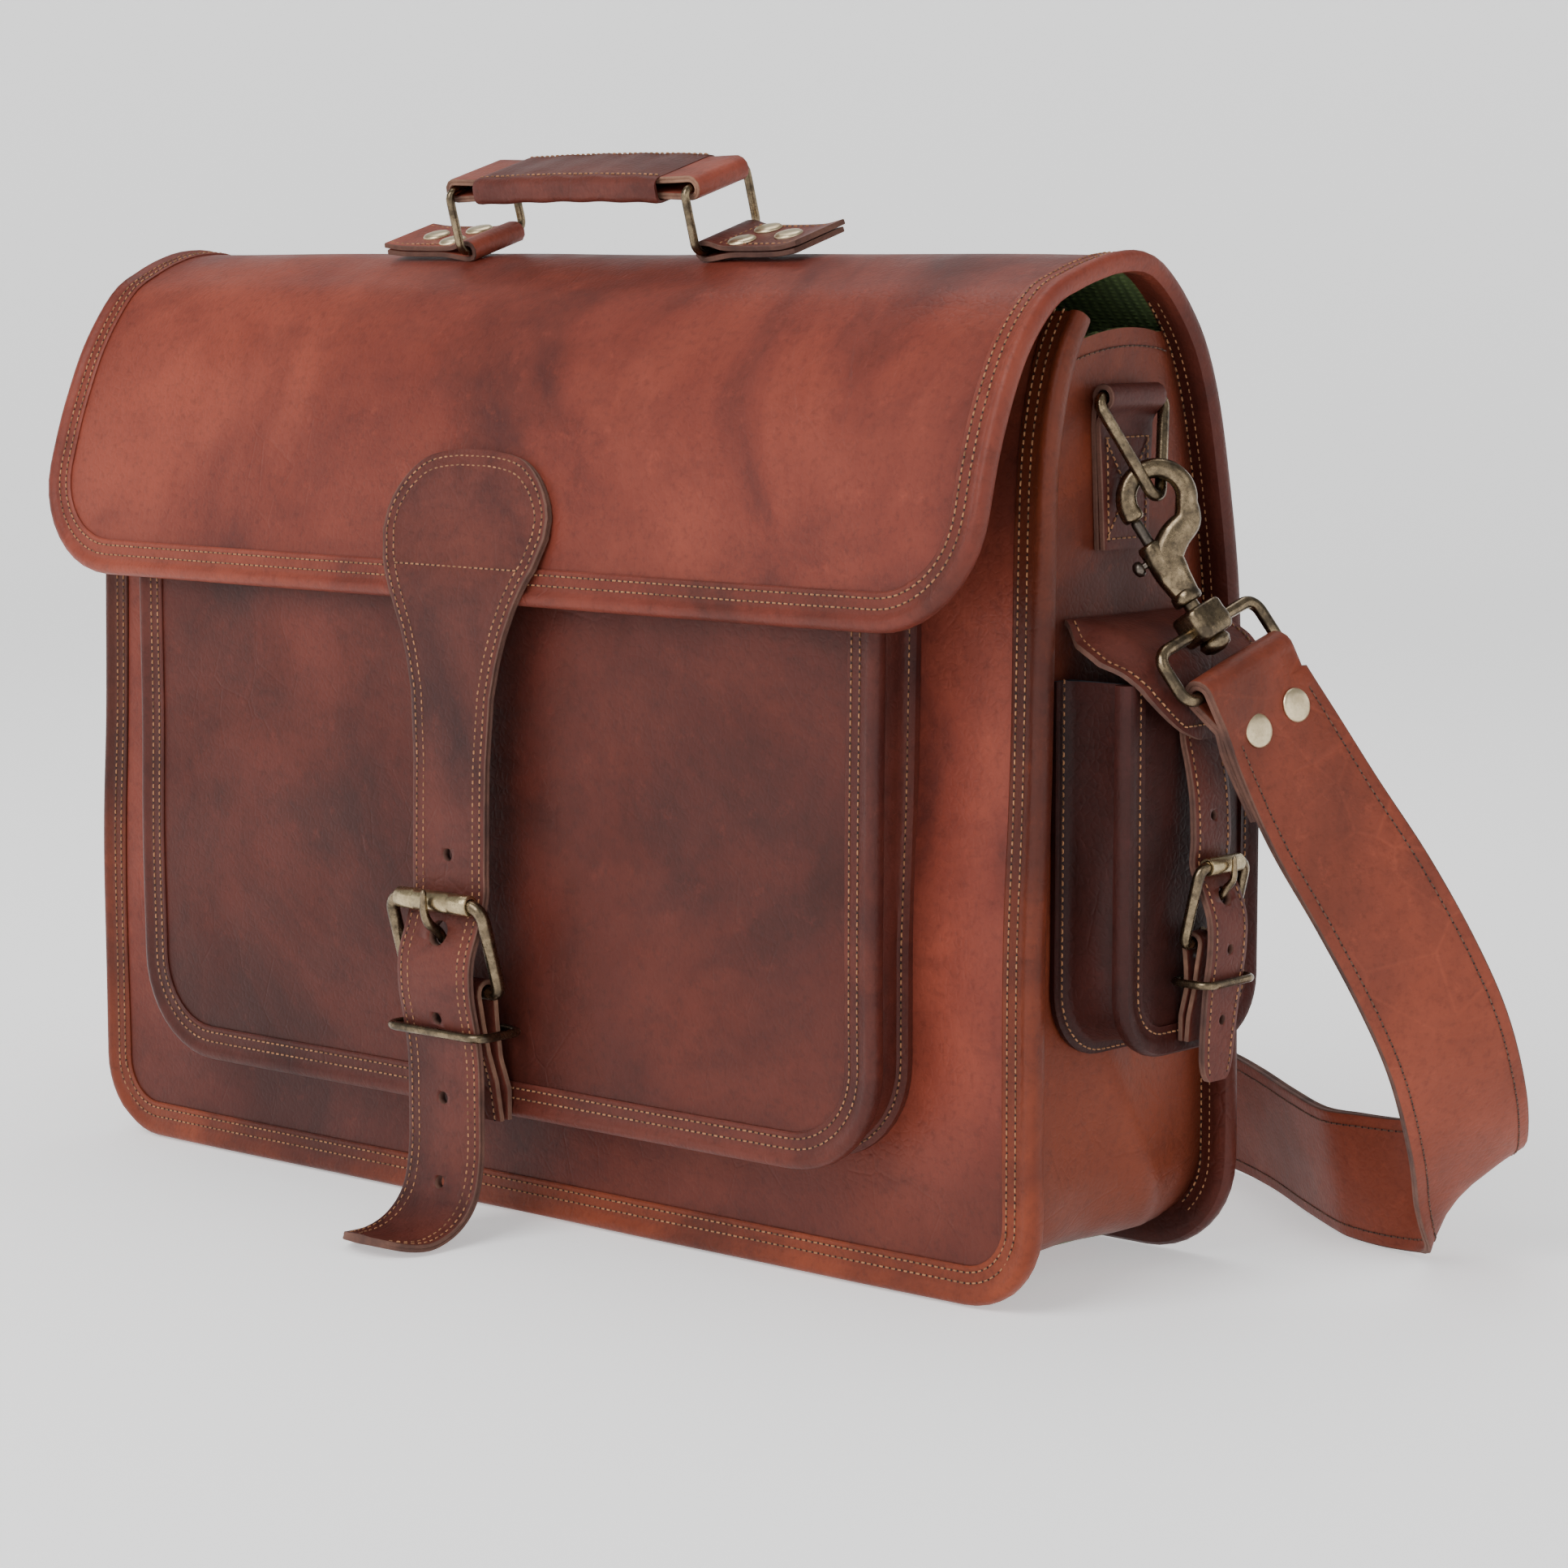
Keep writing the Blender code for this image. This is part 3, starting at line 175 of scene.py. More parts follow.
def leather(name, light, middle, dark, rough=(0.38, 0.56), patch=11.0, cracks=0.0, gloss=0.2):
    """Pull-up leather: cloudy stains, freckles, pores and creases. The tone attribute darkens it: partly
    stains, partly painted shade.
    """
    mat, tree, bsdf = shader_of(name)
    n = Nodes(tree)
    cloud = n.noise(patch, 6.0, 0.62, warp=0.6)
    colour = n.ramp(cloud, ((0.34, dark), (0.48, middle), (0.66, light)))
    drift = n.ramp(n.noise(patch * 0.45, 2.0, 0.5), ((0.35, 0.80), (0.65, 1.12)))
    colour = n.mix(0.6, colour, drift, "MULTIPLY")
    smear = n.noise(1.0, 5.0, 0.7, n.stretch((patch * 2.2, patch * 2.2, patch * 5.5), (0.3, 0.5, 0.2)))
    colour = n.mix(n.span(smear, 0.52, 0.74, 0.0, 0.42), colour, dark)
    freckle = n.noise(420.0, 3.0, 0.7)
    colour = n.mix(n.span(freckle, 0.50, 0.72, 0.0, 0.30), colour, tuple(c * 0.45 for c in dark))
    rub = n.noise(150.0, 4.0, 0.75)
    colour = n.mix(n.span(rub, 0.58, 0.80, 0.0, 0.26), colour, tuple(min(1, c * 1.7) for c in light))
    # The tone attribute darkens the colour: stains along edges and seams, and painted shade under and behind
    # parts.
    colour = n.mix(n.span(n.tone(), 0.0, 1.0, 0.0, 1.0), colour, tuple(c * 0.30 for c in dark))
    pores = n.cells(780.0)
    web = n.cells(430.0, "DISTANCE_TO_EDGE")
    lines = n.cells(1.0, "DISTANCE_TO_EDGE", n.stretch((70.0, 38.0, 52.0), (0.2, 0.6, 0.4)))
    crease = n.span(lines, 0.0, 0.035, 1.0, 0.0)
    where = n.span(n.noise(17.0, 3.0), 0.50, 0.66)
    crease = n.math("MULTIPLY", crease, where)
    if cracks:
        colour = n.mix(n.math("MULTIPLY", crease, cracks), colour, tuple(min(1, c * 2.3) for c in light))
    n.link(colour, bsdf.inputs["Base Color"])
    shine = n.noise(36.0, 5.0, 0.6)
    n.link(n.span(shine, 0.3, 0.7, *rough), bsdf.inputs["Roughness"])
    low = n.bump(n.noise(26.0, 4.0, 0.55), 0.22, 0.0016)
    low = n.bump(n.math("MULTIPLY", crease, -1.0), 0.35, 0.0003, low)
    low = n.bump(n.span(web, 0.0, 0.22), 0.30, 0.00016, low)
    low = n.bump(pores, 0.22, 0.00014, low)
    n.link(low, bsdf.inputs["Normal"])
    bsdf.inputs["Coat Weight"].default_value = 0.03
    bsdf.inputs["Coat Roughness"].default_value = 0.34
    bsdf.inputs["Specular IOR Level"].default_value = gloss
    return mat


def raw_edge(name, pale, dark):
    """The cut side of leather: fuzzy, in thin layers."""
    mat, tree, bsdf = shader_of(name, 0.85)
    n = Nodes(tree)
    fuzz = n.noise(900.0, 3.0, 0.7)
    worn = n.noise(60.0, 4.0, 0.6)
    colour = n.ramp(worn, ((0.36, dark), (0.62, pale)))
    colour = n.mix(n.span(fuzz, 0.4, 0.7, 0.0, 0.4), colour, tuple(c * 0.4 for c in pale))
    n.link(colour, bsdf.inputs["Base Color"])
    n.link(n.bump(fuzz, 0.5, 0.0003), bsdf.inputs["Normal"])
    return mat


def thread(name, colour):
    mat, tree, bsdf = shader_of(name, 0.72)
    n = Nodes(tree)
    worn = n.noise(210.0, 3.0, 0.6)
    n.link(n.ramp(worn, ((0.36, tuple(c * 0.42 for c in colour)), (0.6, colour))), bsdf.inputs["Base Color"])
    n.link(n.bump(n.noise(2600.0, 2.0), 0.5, 0.0002), bsdf.inputs["Normal"])
    return mat


def canvas(name, colour, dark):
    mat, tree, bsdf = shader_of(name, 0.95)
    n = Nodes(tree)
    warp = n.new("ShaderNodeTexWave", wave_type="BANDS", bands_direction="DIAGONAL")
    warp.inputs["Scale"].default_value = 210.0
    warp.inputs["Distortion"].default_value = 0.5
    n.link(n.where, warp.inputs["Vector"])
    weft = n.new("ShaderNodeTexWave", wave_type="BANDS", bands_direction="Z")
    weft.inputs["Scale"].default_value = 300.0
    weft.inputs["Distortion"].default_value = 0.4
    n.link(n.where, weft.inputs["Vector"])
    weave = n.math("MULTIPLY", warp.outputs["Fac"], weft.outputs["Fac"])
    shade = n.mix(n.span(n.noise(30.0, 4.0), 0.35, 0.7), dark, colour)
    shade = n.mix(n.span(weave, 0.0, 1.0, 0.0, 0.6), shade, tuple(c * 1.5 for c in colour))
    n.link(shade, bsdf.inputs["Base Color"])
    n.link(n.bump(weave, 0.7, 0.0005), bsdf.inputs["Normal"])
    return mat


def metal(name, bright, dull, rough=(0.24, 0.46), spots=1.0):
    """Antiqued metal: dull in blotches, rubbed bright elsewhere, finely pitted."""
    mat, tree, bsdf = shader_of(name, 0.35, 1.0)
    n = Nodes(tree)
    blotch = n.noise(170.0, 6.0, 0.7)
    between = tuple((a + b) / 2 for a, b in zip(bright, dull))
    colour = n.ramp(blotch, ((0.38, dull), (0.52, between), (0.68, bright)))
    pit = n.noise(1100.0, 3.0, 0.7)
    colour = n.mix(n.span(pit, 0.52, 0.72, 0.0, 0.5 * spots), colour, tuple(c * 0.35 for c in dull))
    n.link(colour, bsdf.inputs["Base Color"])
    n.link(n.span(blotch, 0.35, 0.7, rough[1], rough[0]), bsdf.inputs["Roughness"])
    n.link(n.bump(pit, 0.22, 0.0002, n.bump(n.noise(240.0, 3.0), 0.14, 0.0006)), bsdf.inputs["Normal"])
    return mat


BODY = leather("leather_body", (0.245, 0.052, 0.031), (0.165, 0.033, 0.021), (0.075, 0.018, 0.014))
POCKET = leather("leather_pocket", (0.120, 0.024, 0.015), (0.082, 0.016, 0.010), (0.043, 0.010, 0.007))
GUSSET = leather("leather_gusset", (0.235, 0.047, 0.019), (0.155, 0.030, 0.013), (0.075, 0.016, 0.009),
                 patch=9.0)
EDGE = leather("leather_edge", (0.215, 0.043, 0.017), (0.145, 0.028, 0.012), (0.070, 0.015, 0.009),
               patch=14.0)
TOP_TRIM = leather("leather_top_trim", (0.240, 0.052, 0.030), (0.170, 0.034, 0.021), (0.080, 0.020, 0.014),
                   patch=14.0)
TRIM = leather("leather_trim", (0.115, 0.026, 0.017), (0.080, 0.018, 0.012), (0.042, 0.010, 0.008),
               patch=14.0)
DARK = leather("leather_dark", (0.135, 0.033, 0.022), (0.088, 0.021, 0.015), (0.042, 0.011, 0.009),
               patch=18.0)
# The side pocket's leather is made far darker than the body's: painted shade for the right end, away from the
# key lamp.
SIDE = leather("leather_side", (0.055, 0.013, 0.010), (0.036, 0.009, 0.007), (0.018, 0.005, 0.004),
               patch=18.0, gloss=0.16)
STRAP = leather("leather_strap", (0.255, 0.055, 0.028), (0.190, 0.040, 0.020), (0.110, 0.025, 0.014),
                patch=10.0, cracks=0.10, rough=(0.42, 0.6))
GRIP = leather("leather_grip", (0.290, 0.068, 0.042), (0.200, 0.044, 0.027), (0.095, 0.024, 0.016),
               patch=20.0)
RAW = raw_edge("raw_edge", (0.26, 0.13, 0.08), (0.11, 0.05, 0.034))
RAW_DARK = raw_edge("raw_edge_dark", (0.14, 0.06, 0.040), (0.055, 0.022, 0.016))
OCHRE = thread("thread_ochre", (0.40, 0.185, 0.080))
BROWN = thread("thread_brown", (0.13, 0.055, 0.030))
HOLE, _, hole_shader = shader_of("needle_hole", 0.9)
hole_shader.inputs["Base Color"].default_value = (0.012, 0.006, 0.005, 1)
# The lining's own green, brightened to light the shaded inside of the bag: partly painted light.
GREEN = canvas("canvas_lining", (0.130, 0.190, 0.060), (0.050, 0.080, 0.028))
BLUE = canvas("pocket_lining", (0.030, 0.038, 0.050), (0.010, 0.013, 0.020))
BRASS = metal("antique_brass", (0.30, 0.225, 0.135), (0.078, 0.060, 0.041), (0.18, 0.36))
RUBBED = metal("rubbed_brass", (0.66, 0.53, 0.31), (0.30, 0.235, 0.135), (0.20, 0.34), 0.6)
CAP = metal("rivet_cap", (0.80, 0.67, 0.44), (0.56, 0.45, 0.28), (0.26, 0.40), 0.4)
STEEL = metal("bolt_steel", (0.19, 0.16, 0.13), (0.06, 0.050, 0.043))


# ---------------------------------------------------------------- mesh building

class Mesh:
    """Gathers lofts into one mesh with a material for each run of faces."""

    def __init__(self):
        self.verts = []
        self.faces = []
        self.slots = []
        self.tones = []

    def loft(self, rings, slot=0, closed=False, caps=True, tone=None, columns=None, open_ring=False):
        rings = np.asarray(rings, float)
        rows, cols = rings.shape[:2]
        start = len(self.verts)
        self.verts.extend(rings.reshape(-1, 3).tolist())
        tones = np.broadcast_to(np.asarray(0.0 if tone is None else tone, float), (rows, cols))
        self.tones.extend(tones.reshape(-1).tolist())
        for i in range(rows if closed else rows - 1):
            a, b = start + i * cols, start + (i + 1) % rows * cols
            for j in range(cols - 1 if open_ring else cols):
                k = (j + 1) % cols
                self.faces.append((a + j, a + k, b + k, b + j))
                self.slots.append(columns[j] if columns is not None else slot)
        if caps and not closed and not open_ring:
            self.faces.append(tuple(range(start + cols - 1, start - 1, -1)))
            self.faces.append(tuple(range(start + (rows - 1) * cols, start + rows * cols)))
            self.slots += [slot, slot] if columns is None else [columns[-1], columns[-1]]

    def add(self, verts, faces, slot=0):
        start = len(self.verts)
        self.verts.extend(verts)
        self.tones.extend([0.0] * len(verts))
        for face in faces:
            self.faces.append(tuple(start + i for i in face))
            self.slots.append(slot)

    def object(self, name, mats, body=None, slot=None, stands=(), angle=38):
        mesh = bpy.data.meshes.new(name)
        mesh.from_pydata([tuple(c * MM for c in v) for v in self.verts], [], self.faces)
        mesh.polygons.foreach_set("material_index", self.slots)
        tone = mesh.attributes.new("tone", "FLOAT", "POINT")
        tone.data.foreach_set("value", np.asarray(self.tones, np.float32))
        for mat in mats:
            mesh.materials.append(mat)
        mesh.validate()
        face_outward(mesh)
        mesh.shade_smooth()
        mesh.set_sharp_from_angle(angle=math.radians(angle))
        obj = bpy.data.objects.new(name, mesh)
        bpy.context.scene.collection.objects.link(obj)
        if stands:
            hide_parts(*stands)
        if body:
            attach(obj, body)
        return obj


def face_outward(mesh):
    bm = bmesh.new()
    bm.from_mesh(mesh)
    bmesh.ops.recalc_face_normals(bm, faces=bm.faces)
    bm.to_mesh(mesh)
    bm.free()


def unit(v):
    return v / max(1e-9, float(np.linalg.norm(v)))


def travel(points):
    """The distance gone at each point of a polyline."""
    step = np.linalg.norm(np.diff(points, axis=0), axis=1)
    return np.concatenate([[0], np.cumsum(step)])


def smooth(rows, steps):
    """A fine polyline along the smooth curve through rows of numbers."""
    pts = np.asarray(rows, float)
    ext = np.vstack([2 * pts[0] - pts[1], pts, 2 * pts[-1] - pts[-2]])
    t = np.linspace(0, 1, steps, endpoint=False)[:, None]
    fine = []
    for a, b, c, d in zip(ext, ext[1:], ext[2:], ext[3:]):
        fine.append(0.5 * (2 * b + (c - a) * t + (2 * a - 5 * b + 4 * c - d) * t ** 2
                           + (3 * b - 3 * c + d - a) * t ** 3))
    return np.vstack(fine + [pts[-1:]])


def curve(points, gap):
    """Evenly spaced points along a smooth curve through the given ones."""
    return spaced(smooth(points, 24), gap)


def spaced(line, gap=None, count=None, closed=False, by=None):
    """A polyline resampled at even steps, measured over its first by columns."""
    line = np.asarray(line, float)
    if closed:
        line = np.vstack([line, line[:1]])
    run = travel(line[:, :by])
    count = count or max(2, int(round(run[-1] / gap)) + 1)
    marks = np.linspace(0, run[-1], count)
    out = np.stack([np.interp(marks, run, line[:, i]) for i in range(line.shape[1])], axis=1)
    return out[:-1] if closed else out


def ways_of(points, closed=False):
    points = np.asarray(points, float)
    if closed:
        way = np.roll(points, -1, axis=0) - np.roll(points, 1, axis=0)
    else:
        way = np.gradient(points, axis=0)
    return way / np.maximum(1e-9, np.linalg.norm(way, axis=1))[:, None]


def arc(centre, radius, start, end, steps):
    out = []
    for k in range(steps + 1):
        a = math.radians(start + (end - start) * k / steps)
        out.append((centre[0] + radius * math.cos(a), centre[1] + radius * math.sin(a)))
    return out


def rounded(corners, radius, steps=6):
    """A closed flat outline whose corners are arcs."""
    out = []
    count = len(corners)
    for i in range(count):
        p = Vector(corners[i])
        a = (Vector(corners[i - 1]) - p).normalized()
        b = (Vector(corners[(i + 1) % count]) - p).normalized()
        half = math.acos(max(-1.0, min(1.0, a.dot(b)))) / 2
        r = radius[i] if isinstance(radius, (list, tuple)) else radius
        centre = p + (a + b).normalized() * (r / math.sin(half))
        first = p + a * (r / math.tan(half)) - centre
        final = p + b * (r / math.tan(half)) - centre
        turn = math.atan2(first.x * final.y - first.y * final.x, first.dot(final))
        for k in range(steps + 1):
            step = Matrix.Rotation(turn * k / steps, 2)
            out.append(tuple(centre + step @ first))
    return out


def oblong(x0, y0, x1, y1):
    return [(x0, y0), (x1, y0), (x1, y1), (x0, y1)]


def hoop(corners, radius, steps, gap):
    """A closed flat outline with round corners, at even steps."""
    return spaced(np.array(rounded(corners, radius, steps)), gap, closed=True)


def tube(mesh, points, radius, sides, flat, closed=False):
    """A rod along points in the plane across flat: radius may be one number or one for each point."""
    pts = np.asarray(points, float)
    way = ways_of(pts, closed)
    flat = unit(np.asarray(flat, float))
    radii = np.broadcast_to(np.asarray(radius, float), (len(pts),))
    angle = TAU * (np.arange(sides) + 0.5) / sides
    rings = []
    for p, t, r in zip(pts, way, radii):
        u = unit(np.cross(flat, t))
        v = unit(np.cross(t, u))
        rings.append(p + (u[None] * np.cos(angle)[:, None] + v[None] * np.sin(angle)[:, None]) * r)
    mesh.loft(rings, 0, closed)


def lathe(mesh, profile, centre, axis, sides, closed=False):
    """A turned shape: its profile holds (radius, height along the axis) pairs."""
    axis = unit(np.asarray(axis, float))
    u = unit(np.cross(axis, (0.31, 0.52, 0.79)))
    v = np.cross(axis, u)
    centre = np.asarray(centre, float)
    angle = TAU * np.arange(sides) / sides
    rings = []
    for r, h in profile:
        spoke = u[None] * np.cos(angle)[:, None] + v[None] * np.sin(angle)[:, None]
        rings.append(centre + axis * h + spoke * r)
    mesh.loft(rings, 0, closed)


STITCH_GAP, STITCH_LONG, STITCH_R, NEEDLE_R = 2.2, 1.5, 0.25, 0.36


def stitches(mesh, points, normals, closed=False, seed=0):
    """Stitches and their needle holes along a line on a surface, with one normal or one for each point."""
    pts = np.asarray(points, float)
    normals = np.broadcast_to(np.asarray(normals, float), pts.shape)
    data = spaced(np.hstack([pts, normals]), STITCH_GAP, closed=closed)
    rng = np.random.default_rng(seed + len(data))
    pts, nrm = data[:, :3], data[:, 3:]
    way = ways_of(pts, closed)
    ring = TAU * np.arange(5) / 5
    spine = ((-1, 0.5, -0.7), (-0.6, 1.0, 0.25), (0.6, 1.0, 0.25), (1, 0.5, -0.7))
    faces = [(i * 5 + j, i * 5 + (j + 1) % 5, i * 5 + 5 + (j + 1) % 5, i * 5 + 5 + j)
             for i in range(3) for j in range(5)]
    for p, n, t in zip(pts, nrm, way):
        n = unit(n)
        side = unit(np.cross(n, t))
        t = unit(t + side * rng.normal(0, 0.04))
        side = unit(np.cross(n, t))
        half = STITCH_LONG / 2 * rng.uniform(0.88, 1.06)
        verts = []
        for along, r, lift in spine:
            centre = p + t * along * half + n * STITCH_R * lift
            for a in ring:
                verts.append(tuple(centre + (side * math.cos(a) + n * math.sin(a)) * STITCH_R * r))
        mesh.add(verts, faces, 0)
        centre = p + t * (half + 0.20) + n * 0.04
        disc = [tuple(centre + (side * math.cos(a) + t * math.sin(a)) * NEEDLE_R) for a in ring]
        mesh.add(disc, [tuple(range(5))], 1)


def strip_section(wide, thick, layers, crown):
    """A strap's outline with layered raw sides: (across, up) points and the material after each."""
    mat, raw = 0, 1
    w, t = wide / 2, thick / 2
    top = [(-w + 0.35, t), (-w + 1.4, t + crown * 0.3)]
    top += [(x * w, t + crown * (1 - x * x)) for x in (-0.6, -0.2, 0.2, 0.6)]
    top += [(w - 1.4, t + crown * 0.3), (w - 0.35, t)]
    side = []
    for k in range(layers):
        high = t - 2 * t * k / layers
        low = t - 2 * t * (k + 1) / layers
        side += [(w, high - 0.22), (w, low + 0.22)]
        if k < layers - 1:
            side.append((w - 0.22, low))
    bottom = [(-x, -z) for x, z in top]
    other = [(-x, -z) for x, z in side]
    points = top + side + bottom + other
    half = [mat] * (len(top) - 1) + [raw] * (len(side) + 1)
    return points, half + half


def strap(mesh, points, widths, wide, thick, layers=2, crown=0.0, tone=None, taper=None):
    """A strap along points; widths are its directions across, taper its half widths where it narrows."""
    pts = np.asarray(points, float)
    way = ways_of(pts)
    widths = np.broadcast_to(np.asarray(widths, float), pts.shape)
    section, slots = strip_section(wide, thick, layers, crown)
    rings = []
    for i, (p, t, w) in enumerate(zip(pts, way, widths)):
        w = unit(w - t * np.dot(w, t))
        n = np.cross(t, w)
        squeeze = taper[i] / (wide / 2) if taper is not None else 1.0
        rings.append([p + w * a * squeeze + n * b for a, b in section])
    mesh.loft(rings, columns=slots, tone=None if tone is None else np.asarray(tone)[:, None])


def ripple(x, z, seed=0.0):
    """Gentle unevenness, in millimetres, that is the same each run."""
    return (math.sin(x * 0.031 + z * 0.023 + seed) * 0.5
            + math.sin(x * 0.067 - z * 0.041 + 1.7 * seed + 1) * 0.3
            + math.sin(x * 0.013 + z * 0.083 + 0.7 * seed + 2) * 0.3)


# ---------------------------------------------------------------- curved panels

ROW_STEP, EDGE_STEP = 3.0, 4.0


class Sheet:
    """A panel straight across X along a curved (Y, Z) profile.

    start and end are the corner radii at the profile's two ends, outward is which side of it faces out, and
    shape(x, s) lifts the surface.
    """

    def __init__(self, profile, half, start, end, outward, shape):
        self.points = curve([(0, y, z) for y, z in profile], gap=1.5)
        self.run = travel(self.points)
        self.length = self.run[-1]
        self.way = ways_of(self.points)
        self.half, self.start, self.end, self.outward = half, start, end, outward
        self.shape = shape

    def at(self, x, s, h=0.0):
        """The point at x across, s along and h above the surface; it also works a little outside."""
        c = min(max(s, 0.0), self.length)
        point = np.array([np.interp(c, self.run, self.points[:, i]) for i in range(3)])
        way = unit(np.array([np.interp(c, self.run, self.way[:, i]) for i in range(3)]))
        normal = np.array((0.0, way[2], -way[1])) * self.outward
        h = h + self.shape(x, c)
        return point + way * (s - c) + normal * h + np.array((x, 0, 0)), normal

    def half_at(self, s):
        half = self.half
        for corner, drop in ((self.start, self.start - s), (self.end, s - (self.length - self.end))):
            if corner and drop > 0:
                half = self.half - corner + math.sqrt(max(0.0, corner ** 2 - drop ** 2))
        return half

    def stops(self):
        bend = [math.sin(math.radians(a)) for a in (90, 82, 72, 60, 48, 36, 24, 12)]
        first = [self.start * (1 - b) for b in bend] if self.start else []
        last = [self.length - self.end * (1 - b) for b in bend[::-1]] if self.end else []
        low, high = self.start, self.length - self.end
        count = int((high - low) / ROW_STEP)
        return first + [low + (high - low) * k / count for k in range(count + 1)] + last

    def solid(self, mesh, thick, cols, tone):
        rings = []
        tones = []
        for s in self.stops():
            half = self.half_at(s)
            xs = np.linspace(-half, half, cols)
            rings.append([self.at(x, s)[0] for x in xs] + [self.at(x, s, -thick)[0] for x in xs[::-1]])
            tones.append([tone(x, s) for x in xs] + [0.0] * cols)
        mesh.loft(rings, columns=[0] * cols + [1] * cols, tone=tones)

    def edge(self):
        """Stations (x, s, outward x, outward s) round the bound edges; closed if both ends are round."""
        low, high = self.start, self.length - self.end
        count = int((high - low) / EDGE_STEP)
        line = [(-self.half, low + (high - low) * k / count, -1.0, 0.0) for k in range(count + 1)]

        def turn(cx, cs, r, a, b):
            out = []
            for k in range(1, 10):
                t = math.radians(a + (b - a) * k / 10)
                out.append((cx + r * math.cos(t), cs + r * math.sin(t), math.cos(t), math.sin(t)))
            return out

        inset = self.half - self.end
        line += turn(-inset, high, self.end, 180, 90)
        line += [(x, self.length, 0.0, 1.0) for x in np.linspace(-inset, inset, int(inset / 2.5))]
        line += turn(inset, high, self.end, 90, 0)
        line += [(self.half, high - (high - low) * k / count, 1.0, 0.0) for k in range(count + 1)]
        if self.start:
            inset = self.half - self.start
            line += turn(inset, low, self.start, 0, -90)
            line += [(x, 0.0, 0.0, -1.0) for x in np.linspace(inset, -inset, int(inset / 2.5))]
            line += turn(-inset, low, self.start, -90, -180)
        return line

    def bind(self, mesh, section, tone):
        """A wrapped band round the edge: section holds (outward, above) pairs of a closed outline."""
        rings = []
        tones = []
        for x, s, ox, os in self.edge():
            rings.append([self.at(x + ox * m, s + os * m, h)[0] for m, h in section])
            tones.append([tone(x, s, m) for m, _ in section])
        mesh.loft(rings, closed=bool(self.start), tone=tones)

    def row(self, inside, above, keep=None):
        """A line parallel to the edge, with normals, for stitches: keep picks stations."""
        pts, nrm = [], []
        for x, s, ox, os in self.edge():
            if keep is None or keep(x, s):
                p, n = self.at(x - ox * inside, s - os * inside, above)
                pts.append(p)
                nrm.append(n if above > 0 else -n)
        return pts, nrm


def smoothstep(a, b, v):
    t = min(1.0, max(0.0, (v - a) / (b - a)))
    return t * t * (3 - 2 * t)


# The wrap is one skin: the front edge of the flap, over the top, down to the back's lower edge.
FLAP_LINE = [(-72, 192.5), (-69.6, 204), (-66, 221), (-60.5, 240), (-52, 259), (-40, 274.6), (-29, 281),
             (-20, 284.6), (-11, 286.8), (0, 287), (9, 283.5), (19.6, 273.9)]
BACK_LINE = [(29, 260), (36.5, 238), (42, 210), (45, 180), (46.5, 140), (47, 90), (47, 45), (46.5, 6.3)]
PANEL = 188.7


def wrap_shape(x, s):
    """Right end of the flap flares; the lower edge waves; the back is softly uneven."""
    low = 1 - smoothstep(70, 120, s)
    flare = 4.2 * smoothstep(60, 190, x) * low - 1.2 * smoothstep(60, 190, -x) * low
    wave = 0.9 * math.sin(x * 0.028 + 0.6) * (1 - smoothstep(10, 60, s))
    back = 0.8 * ripple(x, s, 3.0) * smoothstep(170, 210, s)
    return flare + wave + back + 0.35 * ripple(x, s, 1.0)


def front_shape(x, s):
    return 0.5 * ripple(x, s, 5.0) * (abs(x) < 185)


WRAP = Sheet(FLAP_LINE + BACK_LINE, PANEL, 28.0, 23.0, -1, wrap_shape)
FRONT_LINE = [(-29, 272), (-35, 262), (-40, 247), (-43, 226), (-44, 183), (-45, 139), (-47, 98), (-47, 50),
              (-47, 6.3)]
FRONT = Sheet(FRONT_LINE, PANEL, 0.0, 18.7, 1, front_shape)
POCKET_LINE = [(-64.5, 203), (-64.5, 150), (-65, 100), (-64.5, 39.8)]


def pocket_shape(x, s):
    inside = (1 - (x / 148) ** 2) * math.sin(math.pi * min(1, max(0, s / 163)) ** 0.8)
    return 0.45 * ripple(x, s, 8.0) + 0.8 * max(0.0, inside)


POCKET_SHEET = Sheet(POCKET_LINE, 147.7, 0.0, 26.0, 1, pocket_shape)


def band(out, above, below):
    """A wrapped edge: a narrow stitched band on each face that swells to a roll round the edge."""
    inner, over = -5.2, 0.8
    return [(inner, 0.1), (inner, over - 0.3), (inner + 0.5, over), (inner + 1.6, over * 0.82),
            (inner + 3.4, over * 0.86), (0.6, over * 0.84), (out * 0.26, over * 0.95),
            (out * 0.42, over + above * 0.5),
            (out * 0.62, over + above * 0.65), (out * 0.82, over + above * 0.3), (out * 0.95, above * 0.2),
            (out, -below * 0.25), (out * 0.97, -below * 0.6), (out * 0.8, -below * 0.9),
            (out * 0.5, -below * 1.0),
            (out * 0.1, -below * 0.98), (inner + 2.6, -below * 0.86), (inner, -below * 0.80), (inner, -0.4)]


# The rows of stitches inside an edge.
ROWS = (3.4, 0.4)


def seam_tone(m, dark=0.12):
    """A stitched band is a little darker along its rows."""
    return dark if -4.5 < m < 1 else 0.0


